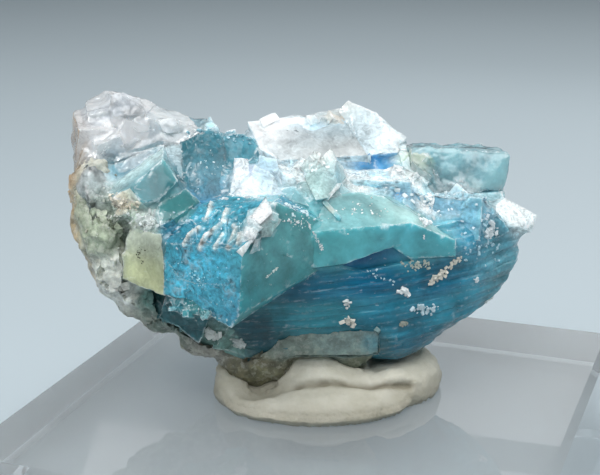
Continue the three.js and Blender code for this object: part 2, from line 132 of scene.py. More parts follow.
# Brucite crystals
# One mass of blue brucite: cleavage sheets for a body, blocky crystals grown over and into it, a colourless
# cap at the upper left and a white frosted blade behind. It grew in a vein, and its front was cleaved.
SPECIMEN_TURN = math.radians(20)
FINE_EDGE = 0.00033
COARSE_EDGE = 0.00055
MOST_TRIANGLES = 190000
FILL_VOXEL = 0.0004
FILL_REACH = 0.00055
FILL_SINK = 0.00012
GROUND_SINK = 0.00025
SHEET_RISE = 0.08
CUT_ROUNDS = 8
WEAR_PASSES = 50
# The ridges in mm, and in square mm the smallest facet that counts as part of a crystal face
RIDGE_HEIGHT = 0.38
RIDGE_WIDTH = 0.21
LEAST_FACE = 0.4
RIDGE_CREAM = "#efebe0"
CRYSTAL_TINTS = [
    # where on the specimen in mm, reach in mm, colour, how frosted, how broken up
    # the front block: left face, its foot, ridged slope, frosted strip, smooth right face
    ((-13.2, -8.3, 15), 1.2, "#25707c", 0.4, 0.12),
    ((-12.6, -8.7, 12.8), 1.2, "#2b6b74", 0.4, 0.15),
    ((-11.4, -9.3, 16.6), 1.1, "#388691", 0.3, 0.12),
    ((-10.4, -9.9, 15), 1.1, "#48a9c2", 0.42, 0.12),
    ((-7.9, -11.2, 15.6), 1, "#50a6b4", 0.36, 0.1),
    ((-8.6, -10.8, 13), 1.2, "#3c8fa8", 0.42, 0.12),
    ((-10.6, -9.7, 11.8), 1, "#4a9297", 0.3, 0.2),
    ((-9.2, -9.8, 10.8), 0.8, "#a9c6c8", 0.6, 0.4),
    ((-10.6, -8.2, 18.8), 1.4, "#469db6", 0.35, 0.2),
    ((-8, -8, 20.2), 1.4, "#4fa8be", 0.35, 0.2),
    ((-12.8, -7.4, 18.2), 0.9, "#2f7d97", 0.35, 0.25),
    ((-10, -9.9, 17.9), (2.6, 1.6, 0.5), "#4a9bb0", 0.35, 0.15),
    # The frosted strip is whitened partly by its frost and partly as a painted highlight where it faces the
    # light
    ((-5.1, -10.4, 20.6), 0.7, "#f2f6f8", 0.3, 0.05),
    ((-6, -11.5, 19), 0.55, "#eef4f6", 0.35, 0.05),
    ((-6.7, -11.9, 17.8), 0.4, "#e3e8e4", 0.4, 0.05),
    ((-4.2, -10, 19.4), 0.6, "#a9c4c1", 0.4, 0.05),
    ((-2.6, -8.4, 17.8), 2.2, "#64acaf", 0.08, 0.0),
    ((-5, -9.9, 13.6), 1.8, "#3a9ea7", 0.06, 0.0),
    ((-2.5, -8.4, 15), 1.4, "#43989d", 0.08, 0.0),
    ((-0.5, -6.4, 16.2), 1.2, "#52a3a8", 0.06, 0.0),
    # the teal block: front, right end and sloping top
    ((3, -6, 16.6), 2.4, "#5fb5bb", 0.04, 0.0),
    ((7.6, -4.8, 16.6), 1.8, "#58b0ba", 0.04, 0.0),
    ((10.6, -3.6, 15.8), 1.6, "#4a9aa6", 0.1, 0.05),
    ((1.6, -4.6, 19), 1.2, "#5aa5b0", 0.1, 0.04),
    ((4, -3.2, 19.5), 1.5, "#86b9bc", 0.1, 0.04),
    ((7.4, -3.4, 18.9), 1.5, "#98bdbb", 0.1, 0.04),
    # the body's front from left to right, then its right end and foot
    ((-1, -6.2, 12.6), (4, 1.5, 1.4), "#14657f", 0.06, 0.12),
    ((5, -5.4, 12.8), (4, 1.5, 1.4), "#035e7d", 0.06, 0.12),
    ((11, -3.2, 12.4), (3, 2, 1.6), "#1c6a86", 0.1, 0.2),
    ((-1, -6, 9.8), (5, 1.5, 1.4), "#2f808e", 0.1, 0.15),
    ((7, -5, 9.4), (4, 1.5, 1.6), "#267a91", 0.1, 0.15),
    ((17.6, 0.6, 14.4), 2.2, "#508f9f", 0.2, 0.25),
    ((18.6, 2, 11), 2, "#55929f", 0.2, 0.25),
    ((14.6, -0.8, 15), 1.4, "#41889f", 0.2, 0.4),
    ((13.4, -1.6, 8.6), 2.4, "#2d869b", 0.1, 0.3),
    ((8.6, -3.4, 5), 2, "#157088", 0.1, 0.2),
    ((5.9, -5.2, 7), 0.9, "#3f7c8a", 0.1, 0.1),
    ((-6, -5.6, 8.6), 2, "#1a5664", 0.12, 0.3),
    ((-9.6, -4.6, 7), 1.8, "#7fa59d", 0.25, 0.4),
    ((-12.4, -5, 9.6), 1.6, "#2b6269", 0.2, 0.5),
    ((-14.6, -5, 11.6), 1.4, "#1c4343", 0.1, 0.4),
    ((4.8, -5, 14.9), (2.6, 0.7, 0.7), "#0c5a84", 0.05, 0.1),
    # the yellow crystal and the crust on it
    ((-15.8, -6.4, 16.6), 1, "#d3dcc8", 0.1, 0.06),
    ((-15.6, -6.4, 14.2), 1.1, "#c3c89e", 0.1, 0.06),
    ((-16.6, -5, 17.9), 0.9, "#bcc4b4", 0.5, 0.4),
    # the left blocks: pale, teal, the bevel between, their crust, the glassy prism
    ((-18.4, -0.3, 22.6), 1, "#6b9aa9", 0.2, 0.03),
    ((-15.7, 0.4, 23.9), 0.8, "#7aa6b3", 0.25, 0.03),
    ((-15.4, -4.4, 21.8), 1.3, "#36737b", 0.05, 0.02),
    ((-14, -3.8, 22.6), 0.8, "#52969a", 0.02, 0.03),
    ((-16.6, -2.2, 22.4), (1.6, 0.5, 0.8), "#a9c3c4", 0.3, 0.1),
    ((-18, -4.6, 20.1), 0.8, "#cfc3ac", 0.6, 0.6),
    ((-17.1, -5.1, 18.8), 0.7, "#9fb3a6", 0.3, 0.3),
    ((-15.2, -6.1, 18.8), 0.7, "#c9d3ce", 0.6, 0.5),
    ((-13.6, 0.6, 23.8), 0.9, "#b4c9cf", 0.3, 0.25),
    ((-12.7, -6.1, 20), 1.2, "#3c7779", 0.04, 0.05),
    # the dark ridge and the blue at its foot
    ((-11.5, 0.3, 23.9), 1.1, "#34727f", 0.2, 0.05),
    ((-12.3, -1.8, 22), 0.9, "#336f7c", 0.2, 0.05),
    ((-9, 0.2, 23.4), 1.2, "#377b8b", 0.2, 0.05),
    ((-7.2, 1.4, 24), 1.1, "#468c9c", 0.2, 0.1),
    ((-10.4, -2.8, 21.3), 0.9, "#4690ae", 0.25, 0.06),
    ((-10.4, -4.4, 20.6), 0.8, "#3782a6", 0.25, 0.06),
    # the white crystals, the blue hollow beside them and the pointed crystals
    ((-7.2, -2.4, 22.4), 0.6, "#dbe5ea", 0.4, 0.03),
    ((-6.1, -2.4, 22.6), 0.6, "#a9b7c8", 0.2, 0.05),
    ((-6.2, -4.2, 21.4), 0.7, "#dbe3e7", 0.3, 0.03),
    ((-4.2, -3.9, 21.1), 0.6, "#c2d2da", 0.3, 0.05),
    ((-4.1, -1.6, 22.2), 0.7, "#a5bdc9", 0.3, 0.1),
    ((-2.5, -6.9, 20.6), 1, "#4390a8", 0.35, 0.25),
    ((0, -2.2, 21.6), 0.8, "#aecdcb", 0.2, 0.15),
    ((0.8, -0.2, 23.2), 0.8, "#dfe5de", 0.4, 0.15),
    ((1.8, -1.4, 21.6), 0.8, "#9cc3cb", 0.2, 0.15),
    ((1.4, -2.6, 20.6), 0.35, "#e9f1f1", 0.3, 0.05),
    ((1.2, -4.4, 19.3), 0.35, "#d9d3bd", 0.2, 0.05),
    ((-1.6, 0, 22), 1, "#d3e0e3", 0.5, 0.4),
    # the frosted hollow
    ((3.7, 0.6, 20.8), 1.1, "#e3eaea", 0.4, 0.5),
    ((6, 1.6, 20.2), 0.9, "#a9cbd9", 0.3, 0.5),
    ((7.7, 3.2, 21.3), 0.5, "#f2f6f6", 0.5, 0.3),
    ((9.1, 3.2, 20.4), 1, "#dde8e8", 0.3, 0.4),
    ((8, 1, 19.4), 0.9, "#8fbdd4", 0.3, 0.6),
    ((10.5, 0.5, 18.7), 0.7, "#eef4f5", 0.5, 0.5),
    ((12.3, 0.2, 18.7), 0.7, "#7fa9bb", 0.2, 0.5),
    ((13.6, 3.2, 19), 1.1, "#b4d2dd", 0.3, 0.5),
    ((14.9, -0.2, 18.7), 0.8, "#6f9fac", 0.15, 0.4),
    ((15.2, 1.4, 16.9), 1.2, "#7aa9bd", 0.3, 0.6),
    ((0, 4, 20.4), 2.2, "#d5e2e5", 0.4, 0.5),
    # the back blade, its blue streak and its right end
    ((-3.5, 10.4, 23.6), 2, "#fbfcfc", 0.08, 0.12),
    ((3, 12.4, 25), 1.8, "#b6b3ab", 0.1, 0.2),
    ((0, 10.6, 23.6), (3, 1, 0.5), "#c0d6df", 0.08, 0.15),
    ((1.5, 8.6, 22.2), (3, 1, 0.6), "#e8eeee", 0.08, 0.12),
    ((7, 10.4, 23.2), 1.6, "#dce8ec", 0.25, 0.3),
    ((5.6, 7.4, 20.8), 1.3, "#3f8cbc", 0.1, 0.15),
    # the pale see-through block and the white wedge below it
    ((15.6, 6.4, 20.8), 2.2, "#98c6ce", 0.03, 0.03),
    ((9.8, 7.2, 21.6), 1.1, "#cbe2cc", 0.03, 0.05),
    ((14, 5.4, 19), 1.4, "#b9dae4", 0.3, 0.2),
    ((19, 3, 16.6), 1.6, "#d8e2e3", 0.5, 0.1),
    # the colourless cap and its tan left rim
    ((-18, 3, 25.4), 2.6, "#ebf0f6", 0.1, 0.12),
    ((-14, 4, 25.2), 2, "#e8f3f8", 0.1, 0.12),
    ((-23, 1.8, 24.4), 1.1, "#d3b69a", 0.2, 0.12),
    ((-22.6, 1.2, 21.8), 1, "#d3c3b0", 0.3, 0.2),
    # the clefts against the rock on the left
    ((-18.6, -3.6, 18.4), 1.2, "#a5b3a5", 0.4, 0.5),
    ((-17.6, -4, 14), 1.2, "#98a596", 0.3, 0.5),
    # the back, from left to right
    ((-12, 10, 18), 4, "#5f9aab", 0.35, 0.5),
    ((0, 13, 17), 4, "#5396ab", 0.3, 0.5),
    ((14, 11, 16), 4, "#6aa6b4", 0.3, 0.5),
    ((0, 12, 8), 5, "#41829a", 0.2, 0.4),
]
# Corners in mm of smaller crystals: the plates of the frosted strip, the spears by the teal block with the
# rods on it, and plates in the cap
SMALL_CRYSTALS = [
    [(-4.6, -8.6, 21.9), (-4, -10.6, 20.9), (-5.1, -11.4, 20.1), (-5.9, -10.9, 20.6), (-4.4, -9, 19)],
    [
        *[(-4, -10.6, 20.9), (-3.2, -9.2, 19.9), (-4.2, -10.2, 18.6), (-5, -11, 18.8)],
        *[(-5.1, -11.3, 20), (-4, -9, 19)],
    ],
    [(-5.1, -11.3, 20), (-5.5, -11.9, 18.9), (-6.2, -11.8, 18.7), (-6, -11.6, 19.7), (-5, -10, 19)],
    [(-5.5, -11.8, 18.8), (-5, -11, 18.8), (-5.1, -11, 17.5), (-6, -11.7, 17.5), (-5, -10, 18)],
    [(-6.1, -11.9, 18.8), (-5.6, -11.9, 18.8), (-6.6, -12.2, 17.4), (-7.1, -12, 17.8), (-6, -11, 18.2)],
    [
        *[(-1.6, -0.6, 22.4), (-0.4, 0.6, 23.9), (0.3, 0, 23.6), (-0.4, -1.8, 21.6)],
        *[(-1.4, -1.6, 21.4), (0, 0, 20)],
    ],
    [
        *[(1.2, 0.3, 24.1), (1.8, -0.6, 23.2), (1.5, -1.4, 21.9), (0.7, -1.4, 22.2)],
        *[(0.4, -0.2, 23.4), (1, 0.6, 21)],
    ],
    [(1.8, -2, 21.2), (2.3, -1.8, 21.3), (0.9, -3.4, 20), (0.6, -3.3, 20.1), (1, -2.4, 19.6)],
    [
        *[(0.3, -3.5, 19.9), (0.6, -3.3, 20.1), (2.2, -5.3, 18.9), (1.8, -5.5, 18.8)],
        *[(1.9, -5, 18.3), (0.6, -3.6, 19.4)],
    ],
    [(-22.6, 1.6, 25.6), (-21.2, 1.2, 25.9), (-20.8, 0.9, 22.6), (-22.2, 1, 22.2), (-21.6, 3, 24)],
    [(-20.8, 0.2, 23.9), (-19.2, 0.2, 25.6), (-18.4, 0.6, 25.2), (-20.2, -0.2, 23.4), (-19.4, 2, 24)],
    [(-19.8, 1.8, 27.8), (-18.4, 2.4, 28.4), (-17.8, 1.6, 25.6), (-19.2, 1.2, 25.8), (-19, 3.4, 27)],
    [(-17.6, 1.6, 26.4), (-16.4, 2.4, 27.2), (-15.6, 1.8, 25.4), (-17, 1.2, 25.2), (-16.6, 3.4, 26)],
    [(-15.2, 2.2, 26.4), (-13.4, 2.6, 26.6), (-12.6, 2, 25.2), (-14.6, 1.6, 25), (-14, 3.6, 25.6)],
    [
        *[(-19.6, 2.4, 28.8), (-18.5, 2.6, 29.1), (-17.6, 2.6, 28.3), (-16.3, 3, 27.9), (-15.9, 2.2, 27)],
        *[(-17.5, 1.6, 26.6), (-19.4, 1.5, 26.8), (-17.8, 4.4, 27.8)],
    ],
    [(-18.6, -0.4, 24.4), (-17.2, 0.6, 25.2), (-16.4, 1.2, 24.9), (-17.8, 0, 23.9), (-17, 2, 24)],
]
# Corners in mm of what is broken out of the teal block's lower edge
NOTCH = [
    *[(0.4, -7.4, 14.3), (3.2, -7.2, 15.3), (4.6, -7, 15.7)],
    *[(6.9, -6.4, 16.4), (9.9, -5, 14.4), (4, -7, 13.8)],
    *[(2.2, -5.4, 14.4), (4.6, -5, 15.3), (6.8, -4.5, 15.9), (8.6, -3.8, 14.4), (4, -4.6, 13.8)],
]
# Points in mm along the wavy ridges on the front block's slope
RIDGES = [
    [(-8.1, -7.7, 20.3), (-8.3, -9.1, 19.6), (-9.2, -9.2, 18.9), (-9.9, -9.7, 18.4), (-10.4, -9.9, 17.4)],
    [(-10.5, -8.4, 18.8), (-11.4, -8.6, 18.2), (-11.8, -9.1, 17.5)],
    [(-8.3, -10, 18.7), (-8.6, -10.3, 18.3), (-9, -10.6, 17.7)],
    [(-7.4, -9.7, 19.4), (-7.2, -10.1, 19.2), (-7.6, -10.7, 18.4), (-7.8, -11.2, 17.9)],
    [(-6.8, -10.9, 19), (-7, -11.3, 18.3)],
    [(-9.6, -5.8, 20.3), (-9.8, -7.1, 19.8), (-10, -7.7, 19.4)],
]
# Corners in mm of the room of the see-through crystals: the cap, and the pale block at the back
CLEAR_ROOMS = [
    [
        *[(-26, -1, 19.5), (-20.6, 0.3, 22.7), (-14.6, 1.3, 24.5), (-10.8, 2, 24.9)],
        *[(-26, 14, 17), (-10.8, 14, 21), (-27, -4, 33), (-10.8, -4, 33), (-27, 15, 33), (-10.8, 15, 33)],
    ],
    [(x, y, z) for x in (9.1, 21) for y in (4.4, 13) for z in (18.4, 25)],
]


def in_specimen(points):
    """Points of the row frame in metres, as millimetres along the specimen's own axes above the block."""
    c, s = math.cos(SPECIMEN_TURN), math.sin(SPECIMEN_TURN)
    x, y, z = points.T * 1000
    return np.stack([c * x + s * y, c * y - s * x, z - BLOCK_THICKNESS * 1000], axis=1)


def on_block(points):
    """The way back: millimetres on the specimen as metres in the row frame."""
    c, s = math.cos(SPECIMEN_TURN), math.sin(SPECIMEN_TURN)
    x, y, z = np.asarray(points, float).T / 1000
    return np.stack([c * x - s * y, s * x + c * y, z + BLOCK_THICKNESS], axis=1)


def copy_of(node_name, piece_name):
    """A piece that starts as a copy of a CAD node's mesh, with its loose triangles merged."""
    piece = bpy.data.objects.new(piece_name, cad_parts[node_name].data.copy())
    bpy.context.scene.collection.objects.link(piece)
    piece.data.materials.clear()
    take(piece)
    bpy.ops.mesh.customdata_custom_splitnormals_clear()
    bpy.ops.object.mode_set(mode="EDIT")
    bpy.ops.mesh.select_all(action="SELECT")
    bpy.ops.mesh.remove_doubles(threshold=2e-6)
    bpy.ops.object.mode_set(mode="OBJECT")
    return piece


def modify(piece, kind, **settings):
    """Adds a modifier to piece with these settings, and applies it."""
    take(piece)
    modifier = piece.modifiers.new(kind.lower(), kind)
    for name, value in settings.items():
        setattr(modifier, name, value)
    bpy.ops.object.modifier_apply(modifier=modifier.name)


def points_of(piece, what="co"):
    """The mesh's points in metres, or their normals, as an array."""
    values = np.empty(len(piece.data.vertices) * 3)
    piece.data.vertices.foreach_get(what, values)
    return values.reshape(-1, 3)


def move_points(piece, points):
    """Puts the mesh's points where an array in metres says."""
    piece.data.vertices.foreach_set("co", points.astype(np.float32).ravel())
    piece.data.update()


def grain(points, size, shift=0.0):
    """Smooth random values from -1 to 1 at points in mm that swing over about one size."""
    return np.array([noise.noise(Vector(p)) for p in points / size + shift])


def broken(points, size, shift=0.0):
    """Heights in mm of a surface broken into small flat faces of about one size, each with a tilt of its own,
    and a random share from 0 to 1 for each face."""
    places = points / size + shift
    cells = np.floor(places).astype(np.int64)
    total = np.zeros(len(points))
    mixed = np.zeros((2, len(points)))
    for step in itertools.product((-1, 0, 1), repeat=3):
        cell = cells + step
        code = (cell @ np.array([7919, 104729, 1299709])) % 1000003
        dice = np.stack([(code * turn % 10007) / 10007 for turn in (31, 127, 709, 1237, 2221, 3571)], axis=1)
        away = places - cell - dice[:, :3]
        tilt = dice[:, 3:] * 2 - 1
        share = np.exp(-16 * (away**2).sum(axis=1)) + 1e-12
        total += share
        mixed += share * np.stack([(away * tilt).sum(axis=1) * 0.8 + 0.2 * tilt[:, 0], dice[:, 4]])
    heights, shares = mixed / total
    return heights * size, shares


def tints_at(tints, points):
    """The colour, frost and brokenness that a table of tinted places gives at points in mm."""
    total = np.full(len(points), 1e-9)
    mixed = np.zeros((len(points), 5))
    for centre, reach, hex_colour, frosted, rough in tints:
        away = (((points - np.array(centre)) / np.array(reach)) ** 2).sum(axis=1)
        share = 1 / (0.02 + away**2)
        total += share
        mixed += share[:, None] * np.array((*linear(hex_colour)[:3], frosted, rough))
    mixed /= total[:, None]
    return mixed[:, :3], mixed[:, 3], mixed[:, 4]


def far_from(points, path):
    """How far points are from a bent line, all in mm."""
    away = np.full(len(points), 99.0)
    for start, end in zip(path, path[1:]):
        start, way = np.array(start), np.array(end) - start
        share = np.clip((points - start) @ way / (way @ way), 0, 1)
        away = np.minimum(away, np.linalg.norm(points - start - share[:, None] * way, axis=1))
    return away


def paint(piece, name, values, domain="POINT"):
    """Stores a value or a colour for each point or corner of piece, for its material to read."""
    if values.ndim == 1:
        layer = piece.data.attributes.new(name, "FLOAT", domain)
        layer.data.foreach_set("value", values.astype(np.float32))
    else:
        layer = piece.data.attributes.new(name, "FLOAT_COLOR", domain)
        opaque = np.concatenate([np.clip(values, 0, 1), np.ones((len(values), 1))], axis=1)
        layer.data.foreach_set("color", opaque.astype(np.float32).ravel())


def hull(corners):
    """A piece that is the convex hull of corners in mm on the specimen."""
    mesh = bpy.data.meshes.new("hull")
    mesh.from_pydata([Vector(p) for p in on_block(corners)], [], [])
    piece = bpy.data.objects.new("hull", mesh)
    bpy.context.scene.collection.objects.link(piece)
    take(piece)
    bpy.ops.object.mode_set(mode="EDIT")
    bpy.ops.mesh.select_all(action="SELECT")
    bpy.ops.mesh.convex_hull()
    bpy.ops.mesh.select_all(action="SELECT")
    bpy.ops.mesh.normals_make_consistent(inside=False)
    bpy.ops.object.mode_set(mode="OBJECT")
    return piece


def combine(piece, other, how="UNION"):
    """Joins other to piece, or cuts it out, and takes it away."""
    modify(piece, "BOOLEAN", operation=how, solver="MANIFOLD", object=other)
    bpy.data.objects.remove(other)
    piece.data.materials.clear()


# What fills the clefts between the crystals, so that they stand grown together
fill = copy_of("brucite_crystals", "cleft_fill")
combine(fill, copy_of("matrix_rock", "ground"))
modify(fill, "REMESH", mode="VOXEL", voxel_size=FILL_VOXEL)
modify(fill, "DISPLACE", strength=FILL_REACH, mid_level=0)
modify(fill, "REMESH", mode="VOXEL", voxel_size=FILL_VOXEL)
modify(fill, "DISPLACE", strength=-FILL_REACH - FILL_SINK, mid_level=0)
modify(fill, "SMOOTH", factor=0.5, iterations=2)

crystals = copy_of("brucite_crystals", "brucite_cluster")
for corners in SMALL_CRYSTALS:
    combine(crystals, hull(corners))
combine(crystals, fill)
ground = copy_of("matrix_rock", "ground")
modify(ground, "REMESH", mode="VOXEL", voxel_size=FILL_VOXEL)
modify(ground, "DISPLACE", strength=-GROUND_SINK, mid_level=0)
combine(crystals, ground, "DIFFERENCE")
combine(crystals, hull(NOTCH), "DIFFERENCE")

# The see-through crystals are cut off as a piece of their own
clear = bpy.data.objects.new("clear_crystals", crystals.data.copy())
bpy.context.scene.collection.objects.link(clear)
rooms = hull(CLEAR_ROOMS[0])
combine(rooms, hull(CLEAR_ROOMS[1]))
modify(clear, "BOOLEAN", operation="INTERSECT", solver="MANIFOLD", object=rooms)
clear.data.materials.clear()
combine(crystals, rooms, "DIFFERENCE")


def too_long(edge):
    """The mesh is finer on the cleaved front than at the back."""
    middle = (edge.verts[0].co + edge.verts[1].co) / 2
    back = middle.y * math.cos(SPECIMEN_TURN) - middle.x * math.sin(SPECIMEN_TURN)
    return edge.calc_length() > (FINE_EDGE if back < 0.005 else COARSE_EDGE)


def cut_fine(piece):
    """Cuts the piece's facets into fine triangles that keep their facet's number. Returns, in mm, each
    facet's middle, height across the sheets and area, and the number of the crystal face it belongs to."""
    take(piece)
    bpy.ops.object.mode_set(mode="EDIT")
    bpy.ops.mesh.select_all(action="SELECT")
    bpy.ops.mesh.dissolve_limited(angle_limit=math.radians(0.6))
    mesh = bmesh.from_edit_mesh(piece.data)
    mark = mesh.faces.layers.int.new("facet")
    middles = []
    heights = []
    areas = []
    for number, face in enumerate(mesh.faces):
        face[mark] = number
        corners = in_specimen(np.array([v.co for v in face.verts]))
        middles.append(in_specimen(np.array([face.calc_center_median_weighted()]))[0])
        heights.append(np.ptp(corners[:, 2] - SHEET_RISE * corners[:, 0]))
        areas.append(face.calc_area() * 1e6)
    middles = np.array(middles)
    areas = np.array(areas)

    # Facets that meet at a slight angle are parts of one crystal face, and share its middle
    whole = np.arange(len(areas))
    for edge in mesh.edges:
        pair = [face[mark] for face in edge.link_faces]
        if areas[pair].min() > LEAST_FACE and edge.calc_face_angle() < math.radians(22):
            whole[whole == whole[pair[1]]] = whole[pair[0]]
    whole_area = np.bincount(whole, areas, len(areas))[whole]
    for axis in range(3):
        summed = np.bincount(whole, middles[:, axis] * areas, len(areas))[whole]
        middles[:, axis] = np.where(areas > LEAST_FACE, summed / whole_area, middles[:, axis])
    bmesh.update_edit_mesh(piece.data)
    bpy.ops.mesh.select_all(action="SELECT")
    bpy.ops.mesh.quads_convert_to_tris(quad_method="BEAUTY", ngon_method="BEAUTY")
    for _ in range(CUT_ROUNDS):
        select_edges(piece, too_long)
        bpy.ops.mesh.subdivide(number_cuts=1)
        bpy.ops.mesh.select_all(action="SELECT")
        bpy.ops.mesh.quads_convert_to_tris(quad_method="BEAUTY", ngon_method="BEAUTY")
    bpy.ops.object.mode_set(mode="OBJECT")
    return middles, np.array(heights), areas, whole


def weather(piece, melted):
    """Gives the piece's bare facets their relief, and paints tint, frost, rim and sheet on it. Its edges are
    rounded in as many passes as melted says."""
    middles, heights, areas, whole = cut_fine(piece)

    # The facet of each triangle, and how far each point belongs to the body's cleavage sheets
    facet = np.empty(len(piece.data.polygons), int)
    piece.data.attributes["facet"].data.foreach_get("value", facet)
    corner_point = np.empty(len(facet) * 3, int)
    piece.data.loops.foreach_get("vertex_index", corner_point)
    rise = middles[:, 2] - SHEET_RISE * middles[:, 0]
    in_body = (heights < 1.0) & (middles[:, 1] > -7.2) & (rise > 3) & (rise < 15.6)
    shape = in_specimen(points_of(piece))
    count = len(shape)
    around = np.bincount(corner_point, minlength=count)
    sheet = np.bincount(corner_point, np.repeat(in_body[facet], 3), count) / around

    # Convex edges between faces, which chip first and catch the light; their whitening is partly worn chips
    # and partly a painted highlight
    edge_share = np.zeros(count)
    mesh = bmesh.new()
    mesh.from_mesh(piece.data)
    for edge in mesh.edges:
        if edge.calc_face_angle_signed(0) > 0.4:
            for point in edge.verts:
                edge_share[point.index] = 1
    mesh.free()

    # The sheets are worn together into a rounded front with fine steps left on it
    ends = np.empty(len(piece.data.edges) * 2, int)
    piece.data.edges.foreach_get("vertices", ends)
    ends = ends.reshape(-1, 2)
    ways = np.concatenate([ends, ends[:, ::-1]])
    degree = np.bincount(ways[:, 0], minlength=count)[:, None]
    for turn in range(WEAR_PASSES):
        free = (sheet > 0.99) | (turn < melted)
        pulled = [np.bincount(ways[:, 0], shape[ways[:, 1], axis], count) for axis in range(3)]
        shape += (0.5 * free)[:, None] * (np.stack(pulled, axis=1) / degree - shape)
    move_points(piece, on_block(shape))

    # Relief: fine striations along the sheets, small faces where it is broken up, chips out of the edges
    _, _, rough = tints_at(CRYSTAL_TINTS, shape)
    rise = shape[:, 2] - SHEET_RISE * shape[:, 0]
    along = np.stack([shape[:, 0] * 0.2, shape[:, 1] * 0.2, rise * 2], axis=1)
    large, large_share = broken(shape, 2.2)
    small, small_share = broken(shape, 0.9, 5.3)
    relief = sheet * (0.07 * grain(along, 1.0) + 0.04 * grain(along, 0.45, 3.3) + 0.3 * rough * large)
    relief += (1 - sheet) * rough * (0.55 * large + 0.5 * small)
    relief += (1 - sheet) * 0.03 * grain(shape, 1.3, 5.1)
    relief -= edge_share * (1 - sheet) * 0.3 * np.clip(grain(shape, 0.8, 2.2) - 0.05, 0, 1)

    # Wavy ridges run down the front block's slope, with cream crests
    away = np.min([far_from(shape, ridge) for ridge in RIDGES], axis=0)
    crest = np.exp(-((away / RIDGE_WIDTH) ** 2))
    crest *= np.clip(0.9 + 0.4 * grain(shape, 0.7, 6.1), 0.4, 1)
    relief += RIDGE_HEIGHT * crest
    move_points(piece, points_of(piece) + points_of(piece, "normal") * (relief / 1000)[:, None])
    take(piece)
    bpy.ops.object.shade_smooth_by_angle(angle=math.radians(28))

    # Each facet keeps a tint of its own, drawn from where its middle is, and varies a little inside
    corners = in_specimen(points_of(piece))[corner_point]
    lean = np.where(in_body[facet] | (areas[facet] < 0.3), 0.0, 0.65).repeat(3)[:, None]
    middle = middles[facet].repeat(3, axis=0)
    tint, frost, _ = tints_at(CRYSTAL_TINTS, corners * (1 - lean) + middle * lean)
    dice = np.random.default_rng(11)
    own = np.where(lean[:, 0] > 0, dice.normal(1.0, 0.1, len(areas))[whole[facet]].repeat(3), 1.0)
    own *= 1 + (rough * (0.5 * (large_share - 0.5) + 0.4 * (small_share - 0.5)))[corner_point]
    cream = 0.9 * crest[corner_point][:, None]
    tint = tint * own[:, None] * (1 - cream) + np.array(linear(RIDGE_CREAM)[:3]) * cream
    paint(piece, "tint", tint, "CORNER")
    frost = np.bincount(corner_point, frost, count) / around
    paint(piece, "frost", np.clip(frost * (0.6 + 0.5 * large_share + 0.3 * small_share), 0, 1))
    # Rim: the edges to be whitened, partly as chips and partly as a painted highlight
    paint(piece, "rim", edge_share * (1 - 0.7 * sheet))
    paint(piece, "sheet", sheet)
    modify(piece, "DECIMATE", ratio=min(1, MOST_TRIANGLES / len(piece.data.polygons)))


weather(crystals, 0)
weather(clear, 7)


